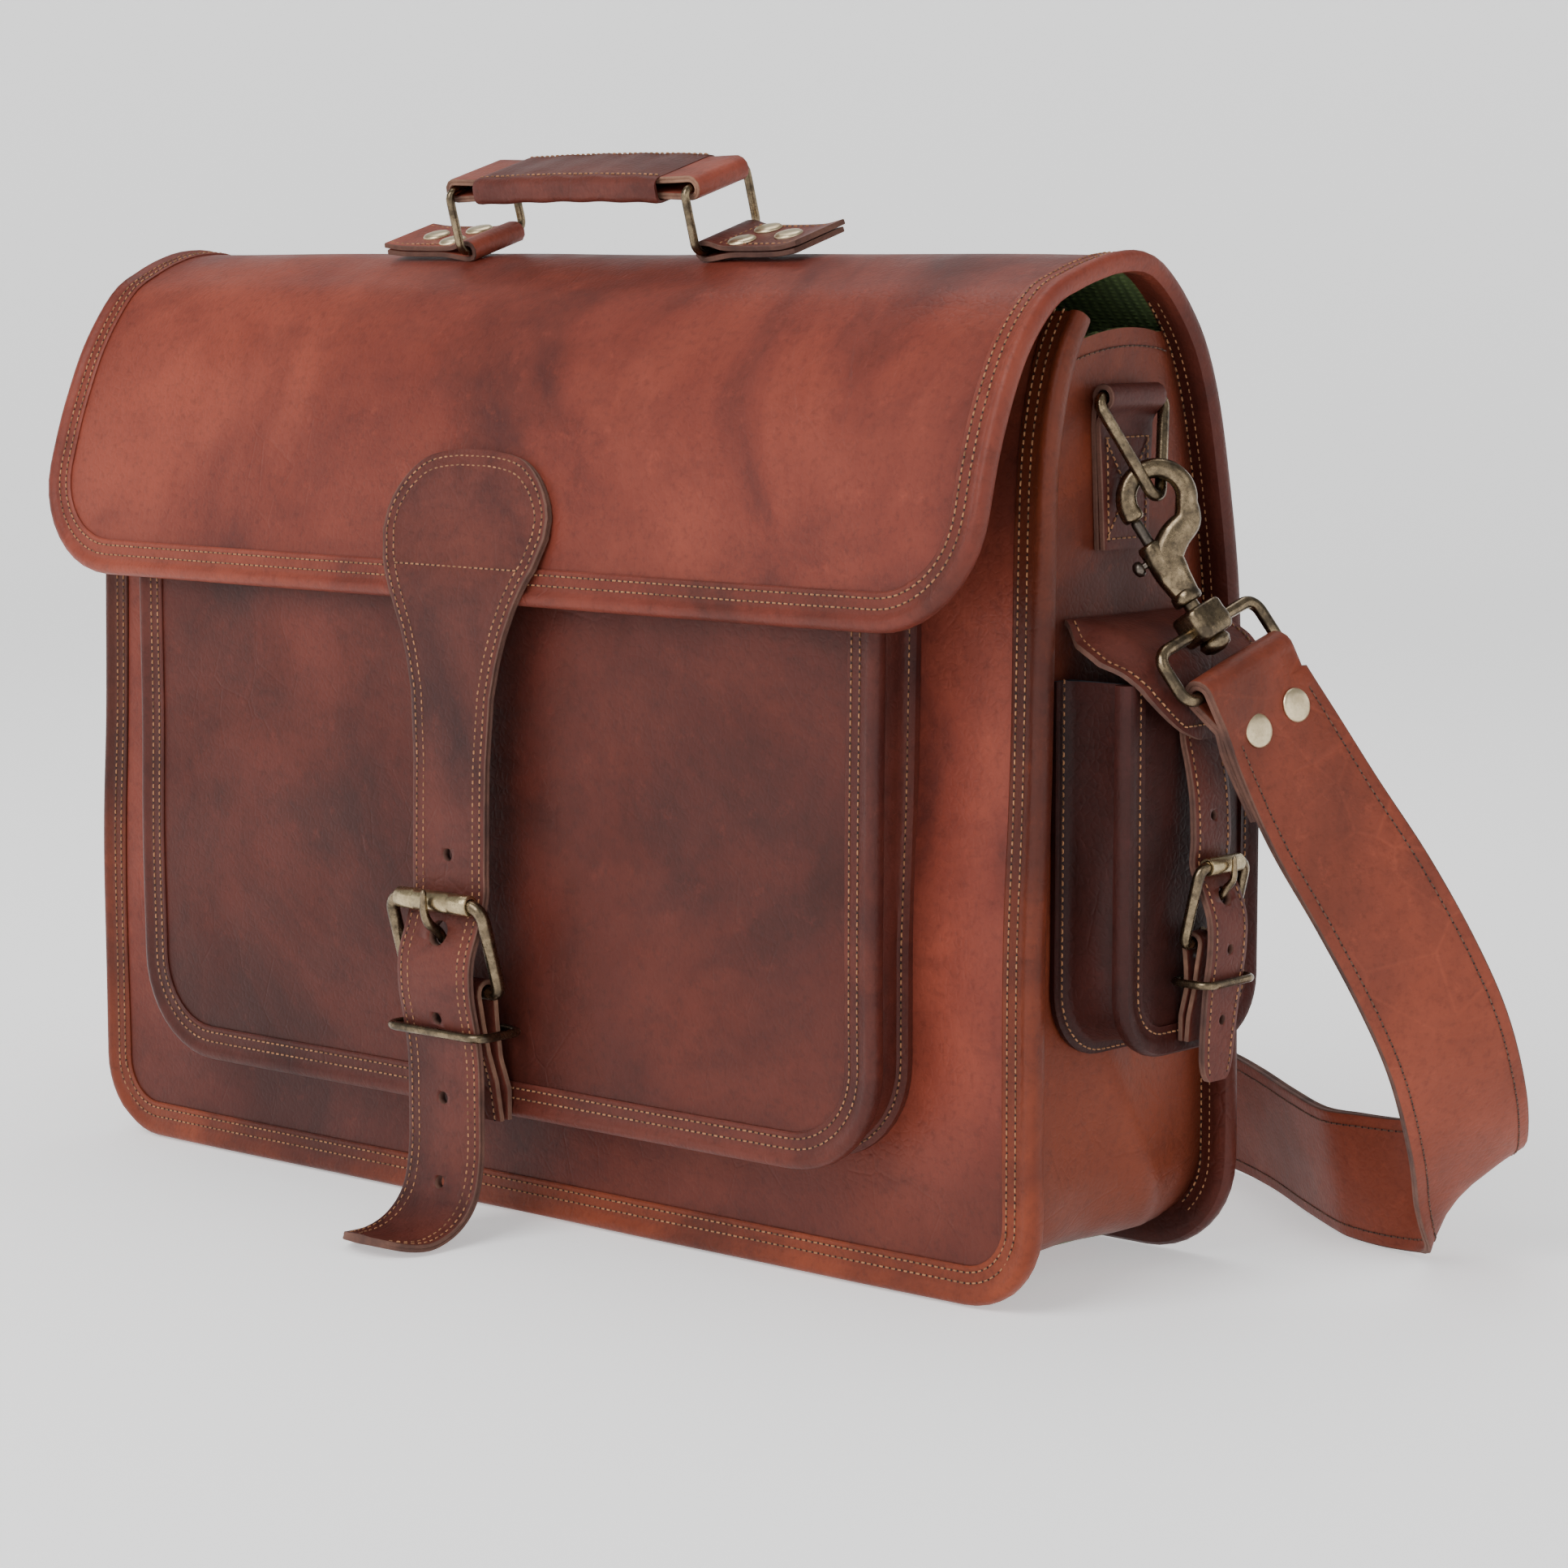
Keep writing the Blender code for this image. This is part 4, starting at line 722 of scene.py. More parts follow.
def make_wrap():
    mesh = Mesh()

    def tone(x, s):
        near = min(PANEL - abs(x), s, WRAP.length - s)
        stain = 0.32 * math.exp(-near / 13)
        top = 0.18 * smoothstep(85, 120, s) * (1 - smoothstep(150, 190, s))
        return min(0.8, stain + top * (0.6 + 0.4 * ripple(x, s, 2.0)))

    WRAP.solid(mesh, 2.4, 96, tone)
    skin = mesh.object("wrap_skin", [BODY, GREEN], slot="leather_body", stands=("flap", "back_panel"))
    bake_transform(skin)
    mesh = Mesh()

    def trim_tone(x, s, m):
        patch = 0.05 + 0.10 * math.sin(s * 0.021 + x * 0.009)
        # back darkens the right half of the binding on the bag's back: painted shade where the back faces
        # away from the lamps.
        back = 0.62 * smoothstep(120, 165, s) * (x > 0)
        return min(0.8, max(0.0, patch) + back + seam_tone(m))

    WRAP.bind(mesh, band(5.7, 1.2, 4.6), trim_tone)
    trim = mesh.object("wrap_binding", [TOP_TRIM], slot="leather_dark",
                       stands=("flap_binding", "back_binding"))
    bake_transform(trim)
    mesh = Mesh()
    for k, inside in enumerate(ROWS):
        stitches(mesh, *WRAP.row(inside, 0.72), closed=True, seed=k)
        for side in (-1, 1):
            keep = WRAP.row(inside + 0.6, -4.15, lambda x, s: x * side > 180 and s > 150)
            stitches(mesh, *keep, seed=4 + k)
    seam = mesh.object("wrap_stitches", [OCHRE, HOLE], slot="leather_dark")
    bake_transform(seam)


def make_front():
    mesh = Mesh()

    def shade(x, s):
        near = min(PANEL - abs(x), FRONT.length - s)
        return 0.22 * math.exp(-near / 14) + 0.45 * smoothstep(205, 250, s)

    FRONT.solid(mesh, 2.8, 80, shade)
    mesh.object("front_skin", [BODY, GREEN], "bag", "leather_body", ("front_panel",))
    mesh = Mesh()

    def tone(x, s, m):
        upper = 0.34 * smoothstep(230, 120, s)
        side = upper + smoothstep(-60, -190, x) * 0.30 * smoothstep(210, 150, s)
        return min(0.7, side + seam_tone(m) + 0.07 * (1 + math.sin(s * 0.05 + x * 0.02)))

    FRONT.bind(mesh, band(6.2, 1.0, 5.6), tone)
    mesh.object("front_edge_binding", [EDGE], "bag", "leather_edge", ("front_binding",))
    mesh = Mesh()
    for k, inside in enumerate(ROWS):
        stitches(mesh, *FRONT.row(inside, 0.72), seed=10 + k)
    mesh.object("front_stitches", [OCHRE, HOLE], "bag", "leather_edge")


def make_pocket():
    mesh = Mesh()

    def shade(x, s):
        near = min(147 - abs(x), POCKET_SHEET.length - s)
        upper = 0.35 * smoothstep(30, 0, s)
        lower = 0.12 * smoothstep(90, 160, s)
        return 0.30 * math.exp(-near / 12) + upper + 0.20 * math.exp(-((x / 30) ** 2)) + lower

    POCKET_SHEET.solid(mesh, 2.4, 72, shade)
    mesh.object("pocket_skin", [POCKET, BLUE], "bag", "leather_body", ("pocket_front",))
    mesh = Mesh()

    def trim(x, s, m):
        return 0.12 - 0.12 * math.tanh(x / 60) + seam_tone(m, 0.1)

    POCKET_SHEET.bind(mesh, band(5.6, 1.2, 5.0), trim)
    mesh.object("pocket_edge_binding", [TRIM], "bag", "leather_dark", ("pocket_piping",))
    mesh = Mesh()
    for k, inside in enumerate(ROWS):
        stitches(mesh, *POCKET_SHEET.row(inside, 0.72), seed=20 + k)
    wall = Mesh()
    rings = []
    hem, normals = [], []
    edge = -64.5 + 5.4
    for x, s, ox, os in POCKET_SHEET.edge():
        z = POCKET_SHEET.at(x, s)[0][2]
        base = front_at(z) - 0.2
        foot = [(3.8, base), (3.8, base - 1.9), (2.2, base - 2.6)]
        bulge = [(1.0, (base * 0.7 + edge * 0.3)), (1.6, (base + edge) / 2), (0.4, edge + 1), (-0.4, edge)]
        shape = foot + bulge + [(-4.0, edge), (-4.0, base)]
        rings.append([(x + ox * m, y, z - os * m) for m, y in shape])
        hem.append((x + ox * 2.0, base - 2.9, z - os * 2.0))
        normals.append((ox * 0.3, -1, -os * 0.3))
    wall.loft(rings)
    wall.object("pocket_wall", [TRIM], "bag", "leather_body", ("pocket_gusset",), angle=60)
    stitches(mesh, hem, normals, seed=23)
    mesh.object("pocket_stitches", [OCHRE, HOLE], "bag", "leather_dark")


# ---------------------------------------------------------------- ends, base and inside

def depth_at(line, z):
    return float(np.interp(-z, [-q[1] for q in line], [q[0] for q in line]))


def front_at(z):
    return depth_at(FRONT_LINE, z)


def back_at(z):
    return depth_at([(20.4, 272.8)] + BACK_LINE, z)


def end_face(side, t, z, depth=0.0):
    """A point on an end wall: t runs from the front seam, 0, to the back seam, 1."""
    y0, y1 = front_at(z) + 3.2, back_at(z) - 3.4
    y = y0 + (y1 - y0) * t
    tuck = 3.0 * math.exp(-((1 - t) * 12) ** 2) + 1.2 * math.exp(-(t * 14) ** 2)
    low = 1 - smoothstep(38, 110, z)
    fold = low * (1.5 * math.sin(9 * t + z * 0.05) * math.sin(math.pi * t)
                  + 1.4 * math.exp(-((t - 0.25 - (95 - z) * 0.006) * 16) ** 2))
    soft = 0.6 * ripple(y * 2.4, z, 6.0 + side) * math.sin(math.pi * t)
    x = 187.4 - tuck + fold + soft - depth
    if z < 34:
        x -= 24 * (1 - math.sin(math.acos(max(-1.0, min(1.0, (z - 34) / 26.0 + 1e-9)))))
    return np.array((side * x, y, z))


def end_top(t):
    """The height of an end wall's upper edge."""
    if t < 0.87:
        return 260.5 + 6.0 * t + 4.0 * math.sin(math.pi * min(1, t * 1.15)) ** 0.7
    return 266.3


def make_ends():
    ts = np.linspace(0, 1, 34)
    columns = [0] * len(ts) + [1] * len(ts)
    for side, name in ((1, "right"), (-1, "left")):
        mesh = Mesh()
        rings, tones = [], []
        for k in np.linspace(0, 1, 70):
            heights = [8.2 + (end_top(t) - 8.2) * (1 - k) for t in ts]
            outer = [end_face(side, t, z) for t, z in zip(ts, heights)]
            inner = [end_face(side, t, max(z, 10.5), 2.4) for t, z in zip(ts, heights)]
            rings.append(outer + inner[::-1])
            level = 0.10 + 0.30 * smoothstep(0.75, 1.0, k) + 0.2 * math.exp(-k * 14)
            shade = [level + 0.22 * math.exp(-t * 12) + 0.4 * math.exp(-(1 - t) * 9) for t in ts]
            tones.append(shade + [0.0] * len(ts))
        mesh.loft(rings, columns=columns, tone=tones)
        mesh.object(f"end_skin_{name}", [GUSSET, GREEN], "bag", "leather_body", (f"gusset_{name}",))
        mesh = Mesh()
        rise = np.array((side * 0.3, 0, 0))
        line = [end_face(side, 0.055, z) + rise for z in np.linspace(257, 34, 60)]
        stitches(mesh, line, (side, 0, 0), seed=31)
        hem = [end_face(side, t, end_top(t) - 5.0) + rise for t in np.linspace(0.05, 0.86, 30)]
        stitches(mesh, hem, (side, 0, 0), seed=33)
        mesh.object(f"end_stitches_{name}", [BROWN, HOLE], "bag", "leather_body")


def make_base():
    mesh = Mesh()
    half = 162.6
    side = [(half, 8.0), (half - 14, 6.0), (half - 32, 2.4), (half - 50, 0.4), (half - 64, 0)]
    path = side + [(0, 0)] + [(-x, z) for x, z in reversed(side)]
    xs = np.linspace(half, -half, 90)
    zs = np.interp(-xs, [-p[0] for p in path], [p[1] for p in path])
    ys = np.linspace(-42.5, 43.0, 24)
    rings = []
    for x, z in zip(xs, zs):
        turned_up = 4.5 * (1 if z < 6 else 0.6)
        heights = [z + 0.3 * abs(ripple(x, y * 2, 4.0)) + turned_up * smoothstep(34, 43, abs(y)) for y in ys]
        lower = [(x, y, h) for y, h in zip(ys, heights)]
        upper = [(x, y, h + 2.8) for y, h in zip(ys, heights)]
        rings.append(lower + upper[::-1])
    # The tone of 0.35 darkens the whole base: painted shade under the bag.
    mesh.loft(rings, columns=[0] * 24 + [1] * 24, tone=0.35)
    mesh.object("base_skin", [BODY, GREEN], "bag", "leather_body", ("gusset_bottom",))


def inside_half(z, wide, clear):
    """Half the width between the end walls at a height, less a clearance where they turn in at the bottom."""
    return wide if z > 32 else 163 + math.sqrt(max(0, 21 ** 2 - (32 - z) ** 2)) - clear


def make_inside():
    mesh = Mesh()
    rings, inner = [], []
    for z in (13.5, 17, 22, 32, 45, 60, 80, 100, 120, 140, 160, 180, 200, 220, 235, 245, 256):
        half = inside_half(z, 183.4, 0.6)
        for out, inset in ((rings, 0.0), (inner, 0.8)):
            y0, y1 = front_at(z) + 3.7 + inset, back_at(z) - 3.7 - inset
            corners = oblong(-half, y0, half, y1)
            ring = []
            for (x0, ya), (x1, yb) in zip(corners, corners[1:] + corners[:1]):
                for k in range(24):
                    t = k / 24
                    x, y = x0 + (x1 - x0) * t, ya + (yb - ya) * t
                    pull = 0.4 * math.sin(x * 0.08 + z * 0.05) * math.sin(math.pi * t)
                    ring.append((x * (1 - inset / 200), y + pull, z + (0.8 if inset and z < 14 else 0)))
            out.append(ring)
    mesh.loft(rings + inner[::-1])
    mesh.object("lining_cloth", [GREEN], "bag", "canvas", ("lining",))
    low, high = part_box("laptop_divider")
    low, high = low * 1000, high * 1000
    mid, thick = (low.y + high.y) / 2, (high.y - low.y) / 2
    mesh = Mesh()
    xs = np.linspace(-181, 181, 60)
    rings = []
    for z in list(np.linspace(low.z, 34, 6)) + list(np.linspace(40, high.z - 6, 34)) + [high.z - 3, high.z]:
        half = inside_half(z, 181.6, 2.4)
        fill = min(1, (z - low.z + 1) / 7, (high.z - z + 1.2) / 5)
        ring = []
        for sign in (-1, 1):
            for x in xs[::-sign] / 181 * half:
                pad = thick * fill * (0.55 + 0.45 * min(1, (half - abs(x)) / 8) ** 0.5)
                quilt = 0.22 * abs(math.sin(x * math.pi / 45)) + 0.22 * abs(math.sin(z * math.pi / 45))
                ring.append((x, mid + sign * (pad - 0.4 + quilt * fill), z))
        rings.append(ring)
    mesh.loft(rings)
    pad = mesh.object("divider_pad", [GREEN], "bag", "canvas", ("laptop_divider",))


# ---------------------------------------------------------------- closure strap and front buckle

HEEL = (-76.0, 73.0)
ROLLER = (-83.6, 99.6)


def closure_line():
    line = []
    for s in (38.5, 32, 26, 20, 13, 7, 0):
        rise = 1.4 + 1.3 * max(0.0, 21 - s) / 16
        p, _ = WRAP.at(0, s, rise)
        line.append(p)
    line += [(0, y, z) for y, z in (
        (-76.6, 186.5), (-77.0, 174), (-77.4, 160), (-78.0, 140), (-78.4, 124), (-78.3, 110), (-78.2, 101),
        (-80.8, 92.5), (-84.3, 83), (-84.4, 73), (-82.2, 62), (-80.8, 52), (-80.6, 38), (-80.9, 24),
        (-83.6, 12.6),
        (-90, 5.6), (-99, 2.2), (-108, 2.4), (-116, 4.6))]
    return curve(line, gap=1.0)


def closure_drift(z):
    """The strap stands a little to the right of the middle, more above its buckle."""
    return 0.9 + 0.8 * smoothstep(95, 125, z)


def closure_half(s, length):
    head = [(0, 6), (0.6, 12), (1.6, 17.5), (3.4, 21.6), (5.8, 24.9), (8.6, 27.8), (11.5, 30), (15, 32),
            (19, 33.3),
            (25, 33.5), (34, 31), (46, 24.8), (54, 21.2), (62, 18.6), (72, 16.4), (92, 15)]
    left = length - s
    if s <= 92:
        return float(np.interp(s, [h[0] for h in head], [h[1] for h in head]))
    if left < 15:
        return 2.0 + 13.0 * math.sqrt(max(0.0, 1 - ((15 - left) / 15.2) ** 2))
    return 15.0


def make_closure():
    line = closure_line()
    run = travel(line)
    taper = [closure_half(s, run[-1]) for s in run]
    line[:, 0] += [closure_drift(z) for z in line[:, 2]]
    mesh = Mesh()
    tone = [0.10 + 0.22 * math.exp(-((z - 96) / 13) ** 2) + 0.16 * math.exp(-((z - 192) / 10) ** 2)
            + 0.12 * math.sin(z * 0.05) for z in line[:, 2]]
    strap(mesh, line, (1, 0, 0), 30, 2.3, crown=0.2, tone=np.clip(tone, 0, 1), taper=taper)
    skin = mesh.object("closure_strap_skin", [DARK, RAW_DARK], "flap", "leather_dark",
                       ("closure_strap",), angle=50)
    for z, r in ((113.0, 1.9), (90.2, 3.6), (65.0, 1.9), (41.0, 1.9), (16.0, 1.9)):
        hole = Mesh()
        lathe(hole, [(r, -100), (r, -70)], (closure_drift(z), 0, z), (0, 1, 0), 20)
        cut(skin, hole, RAW_DARK)
    mesh = Mesh()
    way = ways_of(line)
    for inset, seed in ((1.9, 40), (4.7, 41)):
        along = np.arange(0.05, run[-1] - inset - 0.5, 0.6)
        half = np.array([closure_half(s, run[-1]) for s in along])
        slope = np.gradient(half, along)
        lean = np.sqrt(1 + slope ** 2)
        across, along = np.maximum(half - inset / lean, 0), along + inset * slope / lean
        spots = np.stack([np.interp(along, run, line[:, i]) for i in range(3)], axis=1)
        ways = np.stack([np.interp(along, run, way[:, i]) for i in range(3)], axis=1)
        ups = np.cross(ways, (1, 0, 0))
        left, right = [spots + ups * 1.2 + np.outer(side * across, (1, 0, 0)) for side in (-1, 1)]
        stitches(mesh, np.vstack([left[::-1], right]), np.vstack([ups[::-1], ups]), seed=seed)
    row = min(range(len(line)), key=lambda i: abs(line[i][2] - 197))
    normal = np.cross(way[row], (1, 0, 0))
    reach = taper[row] - 6
    across = [line[row] + np.array((x, 0, 0)) + normal * 1.3 for x in np.linspace(-reach, reach, 14)]
    stitches(mesh, across, normal, seed=44)
    mesh.object("closure_stitches", [OCHRE, HOLE], "flap", "leather_dark")


def cut(obj, shape, inside):
    """Takes a closed shape out of a piece; the cut's walls have the inside material."""
    tool = shape.object("cutter", [inside])
    mod = obj.modifiers.new("cut", "BOOLEAN")
    mod.object = tool
    mod.solver = "EXACT"
    graph = bpy.context.evaluated_depsgraph_get()
    done = obj.evaluated_get(graph)
    mesh = bpy.data.meshes.new_from_object(done, preserve_all_data_layers=True, depsgraph=graph)
    obj.modifiers.clear()
    obj.data = mesh
    bpy.data.objects.remove(tool)


def frame_wire(mesh, heel, top, across, half, radius, corners, steps, gap, sides):
    """A buckle's frame: its heel bar at heel, its far bar at top, both along across."""
    heel, top, across = (np.asarray(v, float) for v in (heel, top, across))
    up = top - heel
    length = float(np.linalg.norm(up))
    up = up / length
    flat = hoop(oblong(-half, 0, half, length), corners, steps, gap)
    points = [heel + up * v + across * u for u, v in flat]
    tube(mesh, points, radius, sides, np.cross(up, across), closed=True)


def prong(mesh, centre, route, radius, eye, across):
    """A tongue: it curls round the heel bar and tapers to its tip."""
    centre = np.asarray(centre, float)
    first = unit(np.asarray(route[0], float) - centre)
    side = np.cross(across, first)
    curl = []
    for k in range(22):
        a = math.radians(300) * (1 - k / 22)
        curl.append(centre + (first * math.cos(a) - side * math.sin(a)) * (eye + radius))
    line = np.vstack([curl, curve(route, gap=0.8)])
    left = np.linalg.norm(line - line[-1], axis=1)
    radii = radius * np.clip(0.55 + left / 22, 0.6, 1.0)
    radii[-1] *= 0.55
    tube(mesh, line, radii, 14, across)


def make_buckle():
    mesh = Mesh()
    frame_wire(mesh, (0, *HEEL), (0, *ROLLER), (1, 0, 0), 19.0, 2.0, [3.0, 3.0, 4.6, 4.6], 7, 1.2, 18)
    mesh.object("buckle_wire", [BRASS], "buckle", "brass", ("buckle_frame",))
    mesh = Mesh()
    wall = [(2.15, -14.9), (2.9, -14.9), (3.12, -14.6), (3.15, -7.6), (3.02, -7.2), (3.15, -6.8), (3.15, 6.8),
            (3.02, 7.2), (3.15, 7.6), (3.12, 14.6), (2.9, 14.9), (2.15, 14.9)]
    lathe(mesh, wall, (0, *ROLLER), (1, 0, 0), 30, closed=True)
    mesh.object("buckle_roller_tube", [RUBBED], "roller", "roller_brass", ("buckle_roller",), angle=55)
    mesh = Mesh()
    route = [(0, -78.0, 75.4), (0, -78.3, 80), (0, -79.3, 85.5), (0, -82.0, 90.2), (0, -86.2, 93.4),
             (0, -88.1, 97.5), (0, -88.2, 103.4)]
    prong(mesh, (0, *HEEL), route, 1.5, 2.15, (1, 0, 0))
    mesh.object("buckle_prong", [BRASS], "tongue", "brass", ("buckle_tongue",))
    mesh = Mesh()
    flat = hoop(oblong(-19.2, -85.2, 19.2, -67.6), 3.6, 8, 1.3)
    tube(mesh, [(x, y, 61.0) for x, y in flat], 1.35, 16, (0, 0, 1), closed=True)
    mesh.object("keeper_wire", [BRASS], "keeper", "brass", ("keeper_ring",))
    mesh = Mesh()
    back = [(-67.1, 34), (-67.1, 43), (-70.6, 53), (-72.0, 64)]
    front = [(-77.6, 64), (-75.4, 55), (-72.3, 46), (-70.2, 34)]
    line = spaced([(0, y, z) for y, z in back + arc(HEEL, 3.3, -9, 189, 14) + front], gap=1.2)
    strap(mesh, line, (1, 0, 0), 28, 1.6, layers=1)
    chape = mesh.object("buckle_chape_skin", [DARK, RAW], "bag", "leather_dark", ("buckle_chape",), angle=50)
    slot = Mesh()
    slot.loft([[(x, y, z) for x, y in oblong(-2.4, -84, 2.4, -66)] for z in (67.5, 80)])
    cut(chape, slot, RAW)
    mesh = Mesh()
    for side in (-1, 1):
        seam = curve([(-77.6, 64), (-75.4, 55), (-72.3, 46), (-70.2, 35)], 2)
        stitches(mesh, [(side * 11.8, y - 1.35, z) for y, z in seam], (0, -1, -0.2), seed=50 + side)
    mesh.object("chape_stitches", [OCHRE, HOLE], "bag", "leather_dark")


# ---------------------------------------------------------------- handle

TILT = math.radians(16.5)
H_UP = np.array((0, -math.sin(TILT), math.cos(TILT)))
H_ACROSS = np.array((0, math.cos(TILT), math.sin(TILT)))
H_BASE = np.array((0, -9.5, 291.2))
RING_X, RISE = 48.7, 19.0


def on_handle(a, b, c=0.0):
    return H_BASE + np.array((a, 0, 0)) + H_UP * b + H_ACROSS * c


def sleeve_arch(x):
    return 0.7 * (1 - (x / 38) ** 2)


def make_handle():
    for side, name in ((1, "right"), (-1, "left")):
        flat = hoop(oblong(-13.8, 0, 13.8, RISE), [3.2, 3.2, 2.4, 2.4], 7, 1.0)
        mesh = Mesh()
        tube(mesh, [on_handle(side * RING_X, v, c) for c, v in flat], 1.3, 14, (1, 0, 0), closed=True)
        mesh.object(f"handle_wire_{name}", [BRASS], f"handle_{name}", "brass", (f"handle_ring_{name}",))
        make_anchor(side, name)
    mesh = Mesh()
    turn = 2.75
    bend = [math.radians(a) for a in range(-100, 101, 20)]
    right = [(RING_X + turn * math.cos(a), turn * math.sin(a)) for a in bend]
    half = [(0.8, -1.7), (18, -1.8), (32, -2.1), (41, -2.4)] + right + [(41, 2.5), (30, 2.3), (16, 2.0)]
    flat = half + [(-x, v) for x, v in reversed(half)]
    line = spaced(flat, gap=1.4)
    strap(mesh, [on_handle(a, RISE + b) for a, b in line], H_ACROSS, 22.6, 2.0)
    mesh.object("grip_skin", [GRIP, RAW], "grip", "leather_grip", ("handle_grip",), angle=50)
    mesh = Mesh()
    outer = rounded(oblong(-14.6, -4.1, 14.6, 3.9), [2.4, 2.4, 3.0, 3.0], 5)
    inner = rounded(oblong(-13.4, -3.3, 13.4, 3.2), 1.6, 5)
    rings = []
    for k, x in enumerate(np.linspace(-37.6, 37.6, 44)):
        end = 1 if k in (0, 43) else 0
        ring = []
        for c, v in outer:
            uneven = 0.16 * math.sin(x * 0.4 + c * 0.3)
            height = RISE + sleeve_arch(x) + v * (1 - 0.05 * end) + uneven
            ring.append(on_handle(x, height, c * (1 - 0.02 * end)))
        rings.append(ring)
    for x in np.linspace(37.6, -37.6, 6):
        rings.append([on_handle(x, RISE + v, c) for c, v in inner])
    mesh.loft(rings, closed=True, tone=0.12)
    mesh.object("sleeve_skin", [DARK], "grip", "leather_dark", ("handle_sleeve",), angle=50)
    mesh = Mesh()
    for c, seed in ((-10.6, 60), (11.6, 61)):
        pts = [on_handle(x, RISE + 3.98 + sleeve_arch(x), c) for x in np.linspace(-36, 36, 50)]
        stitches(mesh, pts, H_UP, seed=seed)
    mesh.object("handle_stitches", [OCHRE, HOLE], "grip", "leather_dark")


def make_anchor(side, name):
    thick, wide = 1.6, 22.4
    turn = 2.5
    curl = 1.5 if side > 0 else 0.9
    lower = [(84.4, -0.95 + curl * 0.8), (78, -0.95 + curl * 0.15), (70, -1.0), (60, -1.1),
             (RING_X + 2.6, -2.3)]
    bend = arc((RING_X, 0), turn, -110, -250, 10)
    upper = [(RING_X + 2.6, 2.3), (56, 1.05), (62, 0.85), (72, 0.9), (79, 0.95 + curl * 0.2),
             (85.2, 1.0 + curl)]
    line = curve([(side * a, b, 0) for a, b in lower + bend + upper], gap=1.5)
    mesh = Mesh()
    pts = [on_handle(a, b) for a, b, _ in line]
    strap(mesh, pts, H_ACROSS, wide, thick, layers=1)
    # The left anchor gets the lighter grip leather and the right one the darker leather: painted light on the
    # left, painted shade on the right.
    skin = [GRIP if side < 0 else DARK, RAW_DARK]
    mesh.object(f"anchor_skin_{name}", skin, "flap", "leather_dark", (f"anchor_{name}",), angle=50)
    seam = Mesh()
    top = [(x, 1.72 + (curl * ((x - 76) / 9) ** 2 if x > 76 else 0)) for x in np.linspace(57, 83.5, 16)]
    for c in (-9.0, 9.0):
        stitches(seam, [on_handle(side * a, b, c) for a, b in top], H_UP, seed=62)
    stitches(seam, [on_handle(side * 54.6, 2.05, c) for c in np.linspace(-9, 9, 8)], H_UP, seed=63)
    seam.object(f"anchor_stitches_{name}", [OCHRE, HOLE], "flap", "leather_dark")
    for i, (x, c) in enumerate(((60.0, -6.0), (60.0, 6.0), (73, 0)), 1):
        cap = Mesh()
        rivet_dome(cap, on_handle(side * x, 1.75, c), H_UP, 4.3)
        cap.object(f"anchor_cap_{name}_{i}", [CAP], "flap", "rivet", (f"anchor_rivet_{name}_{i}",))


def rivet_dome(mesh, spot, up, radius, height=1.2):
    shape = [(radius * 0.6, -0.4), (radius, 0.0), (radius, 0.25), (radius * 0.965, 0.5),
             (radius * 0.86, height * 0.72), (radius * 0.6, height * 0.93), (radius * 0.25, height),
             (0.02, height)]
    lathe(mesh, shape, spot, up, 32)


# ---------------------------------------------------------------- side pocket

def side_outline():
    corner, half, low = 14.0, 27.0, 74.0
    inset = half - corner
    out = [(-half, z, -1.0, 0.0) for z in np.linspace(173, low + corner, 24)]
    for cy, start, end in ((-inset, 180, 270), (inset, 270, 360)):
        for k in range(1, 9):
            a = math.radians(start + (end - start) * k / 9)
            y, z = math.cos(a), math.sin(a)
            out.append((cy + corner * y, low + corner + corner * z, y, z))
        if cy < 0:
            out += [(y, low, 0.0, -1.0) for y in np.linspace(-inset, inset, 8)]
    return out + [(half, z, 1.0, 0.0) for z in np.linspace(low + corner, 173, 24)]


